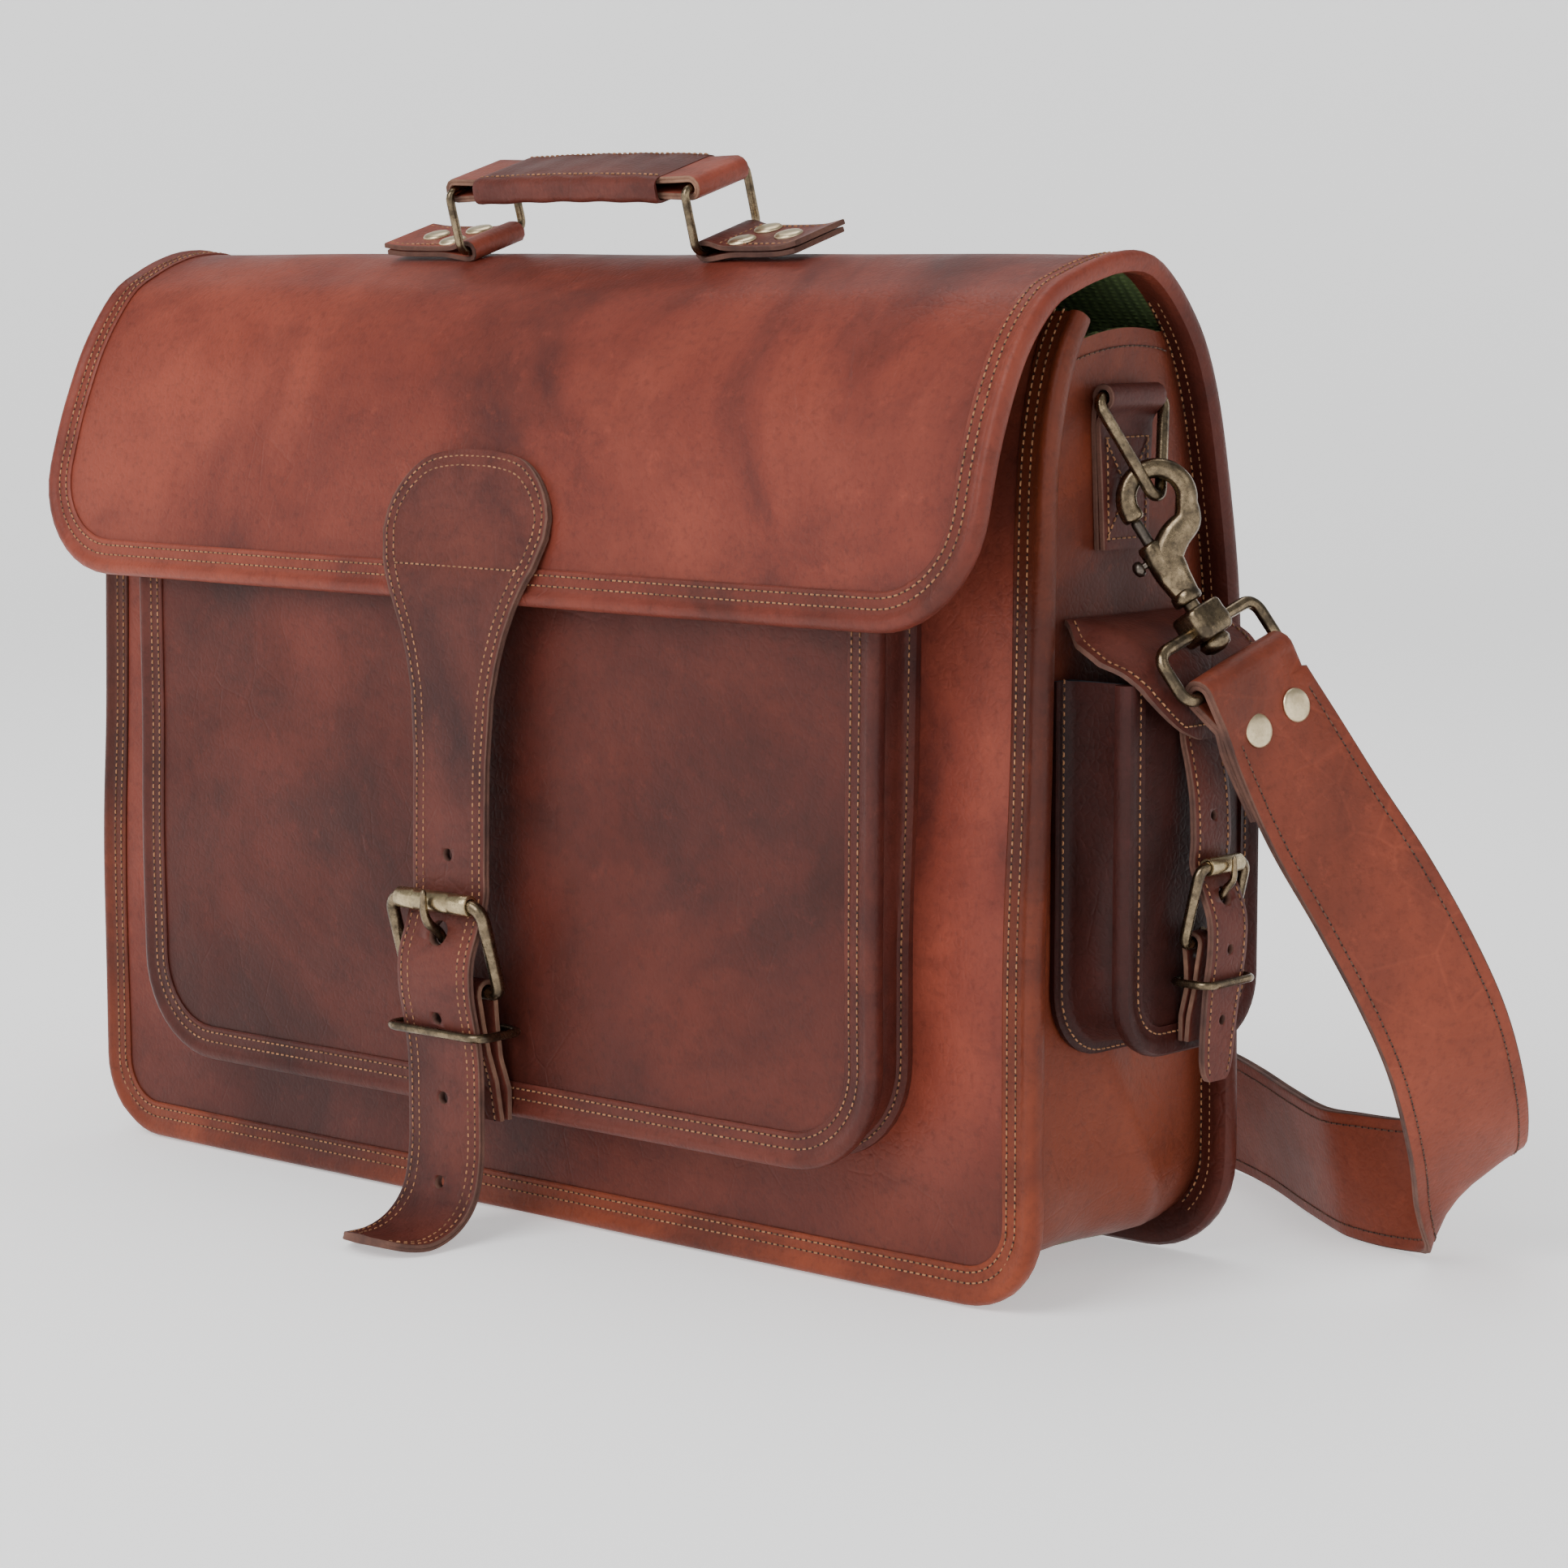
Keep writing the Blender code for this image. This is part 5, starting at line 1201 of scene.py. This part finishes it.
def make_side_pocket():
    line = side_outline()
    mesh = Mesh()
    rings = []
    for z in np.linspace(173, 74.4, 50):
        drop = max(0.0, 88 - z)
        half = 13 + math.sqrt(max(0, 14 ** 2 - drop ** 2))
        full = 0.7 * math.sin(math.pi * (z - 70) / 100)
        outer, inner = [], []
        for y in np.linspace(-half, half, 30):
            swell = full * (1 - (y / 27) ** 2) + 0.3 * ripple(y * 5, z, 9.0)
            outer.append((210.6 + swell, y, z))
            inner.append((208.6 + swell, y, z))
        rings.append(outer + inner[::-1])
    mesh.loft(rings, columns=[0] * 30 + [1] * 30, tone=0.1)
    mesh.object("side_pocket_skin", [SIDE, BLUE], "bag", "leather_dark", ("side_pocket_front",))
    mesh = Mesh()
    section = [(-4.6, 0.1), (-4.6, 0.9), (-2.6, 0.7), (-0.6, 1.0), (1.4, 1.9), (2.9, 1.6), (3.7, 0.3),
               (3.8, -1.6), (3.2, -3.6), (1.6, -4.2), (-0.6, -4.0), (-0.8, -1.0)]
    mesh.loft([[(210.8 + h, y + oy * m, z + oz * m) for m, h in section] for y, z, oy, oz in line])
    mesh.object("side_pocket_binding", [SIDE], "bag", "leather_dark", ("side_pocket_piping",))
    mesh = Mesh()
    rings = []
    for y, z, oy, oz in line:
        bulge = 1.2 * math.sin((z - 74) * 0.06) * (1 if z > 90 else 0.3)
        section = [(5.4, 187.8), (5.6, 189.4), (2.4, 190.2), (1.5, 193), (0.6 + bulge, 198),
                   (0.2 + bulge * 0.5, 203), (-0.4, 206.5), (-2.4, 206.5), (-2.0, 198), (-2.4, 188.4)]
        rings.append([(x, y + oy * m, z + oz * m) for m, x in section])
    mesh.loft(rings, columns=[0] * 7 + [1] * 3, tone=[0.4, 0.3, 0.2, 0.05, 0.0, 0.0, 0.3, 0.3, 0.3, 0.3])
    mesh.object("side_pocket_wall", [SIDE, BLUE], "bag", "leather_body", ("side_pocket_gusset",), angle=60)
    mesh = Mesh()
    for m, x, seed in ((-2.6, 211.6, 70), (4.2, 190.9, 71)):
        stitches(mesh, [(x, y + oy * m, z + oz * m) for y, z, oy, oz in line], (1, 0, 0), seed=seed)
    mesh.object("side_pocket_stitches", [OCHRE, HOLE], "bag", "leather_dark")
    make_side_flap()
    make_side_strap()
    make_side_buckle()


SIDE_FLAP_AT = (0, 0.12, 0.25, 0.4, 0.52, 0.62, 0.72, 0.8, 0.87, 0.93, 0.97, 1.0)
SIDE_FLAP_HALF = (28.5, 30, 31.5, 32, 31, 29.4, 26, 22.5, 18.6, 14.4, 10, 5)


def side_normal(way):
    """The outward direction across a piece that hangs beside the right end."""
    n = np.cross(way, (0, 1, 0))
    return n if n[0] > 0 else -n


def make_side_flap():
    line = curve([(188.8, 0, 188.8), (196.5, 0, 187.2), (204.2, 0, 183.6), (209.8, 0, 179.2), (213.4, 0, 174),
                  (215.3, 0, 169.4), (216.3, 0, 165), (217.0, 0, 157)], gap=1.0)
    count, cols = len(line), 34
    mesh = Mesh()
    normals = [side_normal(t) for t in ways_of(line)]
    rings = []
    for i, (p, n) in enumerate(zip(line, normals)):
        s = i / (count - 1)
        half = float(np.interp(s, SIDE_FLAP_AT, SIDE_FLAP_HALF))
        outer, inner = [], []
        for y in np.linspace(-half, half, cols):
            droop = -5.0 * smoothstep(-18, -31, y) * smoothstep(0.0, 0.15, s) * smoothstep(0.7, 0.35, s)
            wave = droop + 0.5 * math.sin(y * 0.16 + s * 4) * s
            outer.append(p + np.array((0, y, 0)) + n * (0.75 + wave))
            inner.append(p + np.array((0, y, 0)) + n * (-0.75 + wave))
        rings.append(outer + inner[::-1])
    slots = [0] * (cols - 1) + [1] + [0] * (cols - 1) + [1]
    mesh.loft(rings, 1, columns=slots, tone=0.05)
    mesh.object("side_flap_skin", [DARK, RAW_DARK], "side_flap", "leather_dark", ("side_flap",), angle=50)
    mesh = Mesh()
    inset = 2.6
    rows = range(2, count - 4)
    edges = []
    for first, last in ((0, cols - 1), (cols - 1, 0)):
        edge = []
        for i in rows:
            row = np.array(rings[i][:cols])
            part = inset / np.linalg.norm(row[-1] - row[0])
            spot = row[first] * (1 - part) + row[last] * part
            near = row[abs(first - int(round(part * (cols - 1))))]
            edge.append(np.array((near[0], spot[1], near[2])) + normals[i] * 0.2)
        edges.append(edge)
    ups = [normals[i] for i in rows]
    stitches(mesh, edges[0] + edges[1][::-1], ups + ups[::-1], seed=72)
    mesh.object("side_flap_stitches", [OCHRE, HOLE], "side_flap", "leather_dark")


SIDE_HEEL, SIDE_ROLLER = (216.6, 101.3), (221.8, 122.8)


def make_side_strap():
    route = [(213.0, 0, 166.6), (213.2, 0, 162), (213.8, 0, 156.5), (215.4, 0, 150), (217.0, 0, 141),
             (217.6, 0, 130), (217.4, 0, 122.4), (220.8, 0, 115.3), (223.4, 0, 107.8), (223.4, 0, 99),
             (222.2, 0, 90.5), (221.0, 0, 80), (220.3, 0, 72), (220.0, 0, 63)]
    line = curve(route, gap=1.0)
    run = travel(line)
    taper = np.interp(line[:, 2], (64, 90, 110), (6.6, 8.0, 8.3))
    for i, left in enumerate(run[-1] - run):
        if left <= 7:
            taper[i] = 3.0 + (taper[i] - 3.0) * math.sqrt(max(0, 1 - ((7 - left) / 7.2) ** 2))
    mesh = Mesh()
    strap(mesh, line, (0, 1, 0), 16.5, 2.0, crown=0.15, taper=taper, tone=np.full(len(line), 0.12))
    skin = mesh.object("side_strap_skin", [DARK, RAW_DARK], "side_flap", "leather_dark",
                       ("side_strap",), angle=50)
    for z, r in ((136, 1.4), (114.3, 2.5), (99.8, 1.4), (80, 1.4)):
        hole = Mesh()
        lathe(hole, [(r, 205), (r, 235)], (0, 0, z), (1, 0, 0), 16)
        cut(skin, hole, RAW_DARK)
    mesh = Mesh()
    keep = run < run[-1] - 2.5
    ups = np.array([side_normal(t) for t in ways_of(line)])[keep]
    for side in (-1, 1):
        across = np.outer(side * (taper[keep] - 1.9), (0, 1, 0))
        stitches(mesh, line[keep] + across + ups * 1.05, ups, seed=75 + side)
    mesh.object("side_strap_stitches", [OCHRE, HOLE], "side_flap", "leather_dark")


def make_side_buckle():
    heel = (SIDE_HEEL[0], 0, SIDE_HEEL[1])
    top = (SIDE_ROLLER[0], 0, SIDE_ROLLER[1])
    mesh = Mesh()
    frame_wire(mesh, heel, top, (0, 1, 0), 10.6, 1.6, [2.2, 2.2, 3.4, 3.4], 6, 1.0, 16)
    mesh.object("side_buckle_wire", [BRASS], "side_buckle", "brass", ("side_buckle_frame",))
    mesh = Mesh()
    wall = [(1.75, -7.4), (2.3, -7.4), (2.5, -7.1), (2.5, 7.1), (2.3, 7.4), (1.75, 7.4)]
    lathe(mesh, wall, top, (0, 1, 0), 24, closed=True)
    mesh.object("side_roller_tube", [RUBBED], "side_roller", "roller_brass",
                ("side_buckle_roller",), angle=55)
    mesh = Mesh()
    route = [(218.4, 0, 103.5), (218.7, 0, 107.3), (219.4, 0, 111.5), (222.6, 0, 115.9), (225.3, 0, 119.3),
             (225.6, 0, 125.4)]
    prong(mesh, heel, route, 1.15, 1.75, (0, -1, 0))
    mesh.object("side_prong", [BRASS], "side_tongue", "brass", ("side_buckle_tongue",))
    mesh = Mesh()
    flat = hoop(oblong(212.6, -10.6, 225.2, 10.6), 3.0, 7, 1.0)
    tube(mesh, [(x, y, 90.8) for x, y in flat], 1.15, 14, (0, 0, 1), closed=True)
    mesh.object("side_keeper_wire", [BRASS], "side_keeper", "brass", ("side_keeper_ring",))
    mesh = Mesh()
    back = [(213.0, 74), (213.0, 81), (214.8, 88.5), (214.6, 94.8)]
    front = [(218.2, 94.8), (217.4, 88.5), (215.6, 81), (215.0, 74)]
    line = spaced([(x, 0, z) for x, z in back + arc(SIDE_HEEL, 2.7, 190, -10, 12) + front], gap=1.0)
    strap(mesh, line, (0, 1, 0), 14, 1.4, layers=1)
    chape = mesh.object("side_chape_skin", [DARK, RAW], "bag", "leather_dark", ("side_chape",), angle=50)
    slot = Mesh()
    slot.loft([[(x, y, z) for x, y in oblong(205, -1.9, 225, 1.9)] for z in (96.8, 106.3)])
    cut(chape, slot, RAW)


# ---------------------------------------------------------------- clips and shoulder strap

AXIS = unit(np.array((0.496, 0.247, -0.832)))
NORMAL = np.array((0.638, -0.752, 0.157))
NORMAL = unit(NORMAL - AXIS * np.dot(NORMAL, AXIS))
RIGHT = unit(np.cross(NORMAL, AXIS))
ACROSS = np.array((0.03, 0.95, 0.3))
ACROSS = unit(ACROSS - AXIS * np.dot(ACROSS, AXIS))
PX, PZ, TAB_Y = 191.6, 249.0, -4.0
RING_TILT = math.radians(19.5)
APEX = np.array((PX + 27.8 * math.sin(RING_TILT), TAB_Y, PZ - 27.8 * math.cos(RING_TILT)))
EYE = APEX - np.array((-0.102, 0.119, 0.987)) * 1.1
BLOCK = EYE - RIGHT * 7.7 + AXIS * 35.1
BAR = BLOCK + AXIS * 17.0


def flip(p, side):
    return np.array((p[0] * side, p[1], p[2]))


PATCH = (((-9.0, 238), (9.0, 238)), ((-8.2, 210.5), (8.2, 210.5)), ((-9.2, 237), (-8.2, 211)),
         ((9.2, 237), (8.2, 211)), ((-8.6, 236), (8.0, 212)), ((8.6, 236), (-8.0, 212)))


def make_clip(side, name):
    """A tab sewn to an end wall with a crossed box of stitches, its ring, a hook and its loop."""
    mesh = Mesh()
    bend = arc((PX, PZ), 2.9, 205, -35, 16)
    flat = [(188.2, 207.5), (188.2, 225), (188.3, 243)] + bend
    flat += [(190.2, 243.0), (189.9, 238), (190.0, 225), (190.2, 207.5)]
    line = curve([(x, TAB_Y, z) for x, z in flat], gap=1.3)
    taper = np.interp(line[:, 2], (207, 225, 240, 252), (10.0, 11.0, 12.0, 12.2))
    points = [flip(p, side) for p in line]
    strap(mesh, points, (0, 1, 0), 24, 1.6, layers=1, taper=taper, tone=np.full(len(line), 0.1))
    mesh.object(f"ring_tab_skin_{name}", [DARK, RAW_DARK], "bag", "leather_dark",
                (f"ring_tab_{name}",), angle=50)
    mesh = Mesh()
    for seed, ends in enumerate(PATCH, 80):
        stitches(mesh, [flip((191.05, TAB_Y + y, z), side) for y, z in ends], (side, 0, 0), seed=seed)
    mesh.object(f"ring_tab_stitches_{name}", [OCHRE, HOLE], "bag", "leather_dark")
    mesh = Mesh()
    down = np.array((math.sin(RING_TILT), 0, -math.cos(RING_TILT)))
    top = np.array((PX, TAB_Y, PZ))
    flat = hoop([(-15.6, 0), (15.6, 0), (0, 31.6)], [2.4, 2.4, 2.7], 8, 0.9)
    points = [flip(top + np.array((0, y, 0)) + down * v, side) for y, v in flat]
    tube(mesh, points, 1.7, 16, flip(np.cross(down, (0, 1, 0)), side), closed=True)
    mesh.object(f"side_ring_wire_{name}", [BRASS], f"clip_{name}", "brass", (f"side_ring_{name}",))
    make_hook(side, name)
    make_loop(side, name)


def make_hook(side, name):
    """A cast hook: a thick rounded ring with an open side, a waisted housing and a swivel stem."""
    def place(u, v, n=0.0):
        return flip(BLOCK + RIGHT * u - AXIS * v + NORMAL * n, side)

    mesh = Mesh()
    # Each row: right of the axis, above the block, half the thickness in the hook's plane and across it.
    spine = [(0.4, 8.0, 3.7, 3.2), (0.3, 12.0, 4.3, 3.5), (0.4, 16.0, 4.8, 3.7), (1.8, 20.4, 4.6, 3.5),
             (6.2, 23.6, 4.4, 3.3), (11.4, 25.6, 3.9, 3.2)]
    for a in range(-40, 191, 12):
        t = math.radians(a)
        thick = 3.1 - 0.35 * math.sin(math.radians((a + 40) * 0.78))
        spine.append((7.7 + 8.2 * math.cos(t), 35.1 + 8.2 * math.sin(t), thick, thick * 1.04))
    spine.append((-0.5, 32.9, 2.5, 2.6))
    data = spaced(smooth(spine, 12), count=90, by=2)
    rings = []
    for i, (u, v, a, b) in enumerate(data):
        before, after = data[max(i - 1, 0)], data[min(i + 1, len(data) - 1)]
        way = unit(after[:2] - before[:2])
        out = np.array((-way[1], way[0]))
        ring = []
        for q in range(20):
            t = TAU * q / 20
            c, s = (math.copysign(abs(value) ** 0.8, value) for value in (math.cos(t), math.sin(t)))
            ring.append(place(u + out[0] * a * c, v + out[1] * a * c, b * s))
        rings.append(ring)
    mesh.loft(rings)
    up = place(0, 1) - place(0, 0)
    housing = [(2.9, 15.0), (3.6, 15.6), (3.6, 24.8), (3.2, 25.6), (1.9, 25.8), (1.9, 15.0)]
    lathe(mesh, housing, place(-0.9, 0), up, 24, closed=True)
    lathe(mesh, [(3.4, 6.2), (4.1, 6.6), (4.3, 7.6), (4.0, 9.4), (3.0, 10.4)], place(0, 0), up, 24)
    stem = [(2.2, 7.0), (2.2, -4.6), (3.9, -5.0), (4.6, -6.4), (3.9, -8.2), (2.0, -9.2), (0.05, -9.4)]
    lathe(mesh, stem, place(0, 0), up, 24)
    mesh.object(f"hook_cast_{name}", [BRASS], f"hook_{name}", "brass", (f"hook_{name}",), angle=60)
    mesh = Mesh()
    lathe(mesh, [(0.05, 33.3), (0.9, 33.2), (1.45, 32.6), (1.6, 31.8), (1.6, 17)], place(-0.6, 0), up, 20)
    thumb = [(1.0, 0.3), (1.0, 4.7), (1.9, 5.0), (2.3, 6.0), (1.9, 7.1), (0.9, 7.7), (0.05, 7.8)]
    lathe(mesh, thumb, place(-0.6, 21.2), place(-1, 0) - place(0, 0), 18)
    mesh.object(f"hook_bolt_pin_{name}", [STEEL], f"hook_bolt_{name}", "steel",
                (f"hook_bolt_{name}",), angle=60)


def make_loop(side, name):
    mesh = Mesh()
    flat = rounded(oblong(-22, 1.5, 22, 17), 4.2, 8)
    line = spaced([(4.0, 1.5)] + flat[9:] + flat[:9] + [(-4.0, 1.5)], gap=1.0)
    points = [flip(BLOCK + ACROSS * u + AXIS * v, side) for u, v in line]
    tube(mesh, points, 1.8, 16, flip(np.cross(ACROSS, AXIS), side))
    depth = unit(np.cross(AXIS, ACROSS))
    outline = rounded(oblong(-6.6, -5.2, 6.6, 5.2), 2.6, 6)
    rings = []
    for v, k in ((-4.4, 0.80), (-4.1, 0.92), (-3.2, 1.0), (-1.0, 1.0), (1.5, 1.04), (3.6, 1.0), (4.6, 0.92),
                 (5.0, 0.80)):
        rings.append([flip(BLOCK + ACROSS * a * k + depth * b * k + AXIS * v, side) for a, b in outline])
    mesh.loft(rings)
    mesh.object(f"swivel_loop_{name}", [BRASS], f"clip_{name}", "brass", (f"hook_loop_{name}",), angle=50)


WIDE, THICK, FOLD_BACK, STRAP_STEP = 38.0, 2.8, 34.0, 3.5
# Middle points of the shoulder strap and its directions across, from the loop to behind the bag.
STATIONS = [
    ((228.4, 12, 161), (5, 35, 14)), ((239.1, 22, 136.6), (12, 31, 18)),
    ((250, 31, 113.9), (17, 29, 17.5)), ((258.3, 41, 91), (19, 28, 17)),
    ((262.3, 51, 70.3), (19.5, 27.5, 17.5)), ((259.8, 65, 47.2), (20, 26, 19)),
    ((252.5, 79, 30), (20, 25, 21)), ((246.5, 85.5, 23.3), (18, 22, 25.5)),
    ((238.5, 89.5, 20), (13, 15.5, 32)), ((229, 90.5, 19.3), (8, 8, 36.5)),
    ((219, 89.5, 19.2), (3, 2, 37.8)), ((207, 90.5, 19.2), (-1.5, -2, 38)),
    ((196, 93.5, 19.2), (-4, -5, 37.5)), ((174, 109, 19.2), (-4, -5, 37.5)),
    ((148, 128.5, 19.4), (-3, -5, 37.6)), ((124, 142, 20.2), (-1, -4, 37.8)),
    ((94, 152, 21.4), (0, -1, 38)), ((66, 156, 22.8), (0, 0, 38)),
]
TURN_MIDDLE = BAR + ACROSS * 1.8
STRAP_UP = unit(np.cross(AXIS, ACROSS))
BUCKLE_Y, LIFT = 156.0, 24.4


def strap_rows():
    """Middle points, width directions and outward normals from beside the loop's bar to behind the bag."""
    rise = STRAP_UP * (THICK / 2 + 0.15)
    body = [np.concatenate([TURN_MIDDLE + AXIS * 9 + rise, ACROSS])]
    for i, (p, w) in enumerate(STATIONS):
        body.append(np.concatenate([np.array(p, float) + (rise if i == 0 else 0), unit(np.array(w, float))]))
    fine = smooth(body, 16)
    rows = spaced(fine, count=int(travel(fine[:, :3])[-1] / STRAP_STEP) + 1, by=3)
    points = rows[:, :3]
    widths = [unit(w) for w in rows[:, 3:]]
    return points, widths, [unit(np.cross(t, w)) for t, w in zip(ways_of(points), widths)]


def strap_path(tail):
    """The strap's stations: its end turned under, the wrap, the fall, the ground and the given tail."""
    points, widths, normals = strap_rows()
    folded = int(FOLD_BACK / STRAP_STEP)
    under = [p - n * (THICK + 0.3) for p, n in zip(points, normals)][:folded]
    turn = 1.8 + 0.4 + THICK / 2
    angles = [math.radians(a) for a in (-70, -90, -110, -135, -160, 180, 160, 135, 110, 90, 70)]
    wrap = [TURN_MIDDLE + AXIS * (turn * math.cos(a)) + STRAP_UP * (turn * math.sin(a)) for a in angles]
    places = under[::-1] + wrap + list(points) + [np.array(p, float) for p in tail]
    across = widths[:folded][::-1] + [ACROSS] * len(wrap) + widths + [np.array((0, 0, 1.0))] * len(tail)
    return places, across, folded + len(wrap)


def make_half_strap(side, name, node, tail):
    pts, widths, folded = strap_path(tail)
    pts = np.array([flip(p, side) for p in pts])
    widths = [flip(w, side) for w in widths]
    mesh = Mesh()
    strap(mesh, pts, widths, WIDE, THICK, crown=0.2)
    skin = mesh.object(f"shoulder_strap_{name}", [STRAP, RAW_DARK], slot="leather_strap",
                       stands=(node,), angle=50)
    seam = Mesh()
    way = ways_of(pts)
    first = folded + 2
    for edge in (-1, 1):
        for face in (-1, 1):
            line, ups = [], []
            for p, w, t in zip(pts[first:], widths[first:], way[first:]):
                w = unit(w - t * np.dot(w, t))
                n = np.cross(t, w) * face
                line.append(p + w * edge * (WIDE / 2 - 3.6) + n * (THICK / 2 + 0.14))
                ups.append(n)
            stitches(seam, line, ups, seed=90 + edge + 2 * face)
    stitched = seam.object(f"shoulder_stitches_{name}", [BROWN, HOLE], slot="leather_strap")
    for piece in (skin, stitched):
        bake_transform(piece)
    centre = pts[folded - 4:] * MM
    length = round(float(travel(centre)[-1]), 3)
    centre = [tuple(p) for p in centre]
    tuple(centre[0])


def make_shoulder_strap():
    caps = {}
    points, widths, normals = strap_rows()
    for side, name in ((1, "right"), (-1, "left")):
        caps[name] = []
        for i, shift in enumerate((-8.0, 8.0), 1):
            mesh = Mesh()
            spot = points[2] + widths[2] * shift + normals[2] * (THICK / 2 + 0.35)
            rivet_dome(mesh, flip(spot, side), flip(normals[2], side), 4.8, 1.3)
            stands = (f"strap_rivet_{name}_{i}",)
            caps[name].append(mesh.object(f"strap_cap_{name}_{i}", [CAP], f"clip_{name}", "rivet", stands))
    mesh = Mesh()
    flat = hoop(oblong(-12, -22, 12, 22), 4.0, 8, 1.3)
    tube(mesh, [(x, BUCKLE_Y, LIFT + z) for x, z in flat], 1.75, 16, (0, 1, 0), closed=True)
    slider = mesh.object("strap_slider", [BRASS], "bag", "brass", ("strap_buckle",))
    tail = curve([(66, BUCKLE_Y, 22.8), (30, BUCKLE_Y - 2.2, LIFT), (12, BUCKLE_Y - 4.0, LIFT),
                  (0, BUCKLE_Y + 1.8, LIFT), (-12, BUCKLE_Y + 7.8, LIFT), (-30, BUCKLE_Y + 7.2, LIFT - 1),
                  (-75, BUCKLE_Y + 6.8, LIFT - 4)], gap=STRAP_STEP)
    make_half_strap(1, "right", "shoulder_strap_long", tail[1:])
    turn = 1.75 + 0.4 + THICK / 2
    wrap = [(50, BUCKLE_Y + 0.8, LIFT - 0.6), (36, BUCKLE_Y + 2.2, LIFT), (24, BUCKLE_Y + 3.2, LIFT)]
    wrap += [(x, y, LIFT) for x, y in arc((12, BUCKLE_Y), turn, 95, 265, 10)]
    wrap += [(24, BUCKLE_Y - 2.9, LIFT), (40, BUCKLE_Y - 2.4, LIFT)]
    make_half_strap(-1, "left", "shoulder_strap_short", wrap)


# ---------------------------------------------------------------- setting

def make_setting():
    """A pale round floor that curves up far away on every side, and soft light."""
    mesh = bpy.data.meshes.new("floor")
    inner, reach, rim, bend, sides = 0.5, 3.6, 1.5, 0.9, 96
    profile = [(inner, 0.0), (reach - bend, 0.0)]
    for degrees in range(10, 91, 10):
        a = math.radians(degrees)
        profile.append((reach - bend + bend * math.sin(a), bend - bend * math.cos(a)))
    profile.append((reach, rim))
    angles = [TAU * k / sides for k in range(sides)]
    verts = [(r * math.cos(a), r * math.sin(a), z) for r, z in profile for a in angles]
    faces = [tuple(range(sides))]
    for i in range(len(profile) - 1):
        a, b = i * sides, (i + 1) * sides
        faces += [(a + k, b + k, b + (k + 1) % sides, a + (k + 1) % sides) for k in range(sides)]
    mesh.from_pydata(verts, [], faces)
    mesh.shade_smooth()
    floor = bpy.data.objects.new("floor", mesh)
    floor.location.z = -0.0004
    bpy.context.scene.collection.objects.link(floor)
    mat, _, bsdf = shader_of("pale_floor", 0.9)
    bsdf.inputs["Base Color"].default_value = (0.94, 0.94, 0.94, 1)
    bsdf.inputs["Emission Color"].default_value = (1.0, 1.0, 1.0, 1)
    bsdf.inputs["Emission Strength"].default_value = 0.5
    mesh.materials.append(mat)
    world = bpy.data.worlds.new("studio")
    bpy.context.scene.world = world
    world.use_nodes = True
    sky = world.node_tree.nodes["Background"]
    sky.inputs["Color"].default_value = (1.0, 1.0, 1.0, 1)
    sky.inputs["Strength"].default_value = 0.36
    add_light("key", (0.0, -1.9, 1.75), 1.5, 46, (0, 0, 0.15))
    add_light("fill", (1.9, -0.3, 1.1), 1.4, 5, (0.1, 0, 0.12))
    add_light("top", (-0.4, 0.4, 1.9), 1.3, 12, (0, 0, 0.2))


def add_light(name, place, size, power, target):
    data = bpy.data.lights.new(name, "AREA")
    data.energy = power
    data.size = size
    light = bpy.data.objects.new(name, data)
    light.location = place
    way = Vector(target) - Vector(place)
    light.rotation_euler = way.to_track_quat("-Z", "Y").to_euler()
    bpy.context.scene.collection.objects.link(light)


make_shoulder_strap()
make_clip(1, "right")
make_clip(-1, "left")
make_wrap()
make_front()
make_pocket()
make_ends()
make_base()
make_inside()
make_closure()
make_buckle()
make_handle()
make_side_pocket()
make_setting()
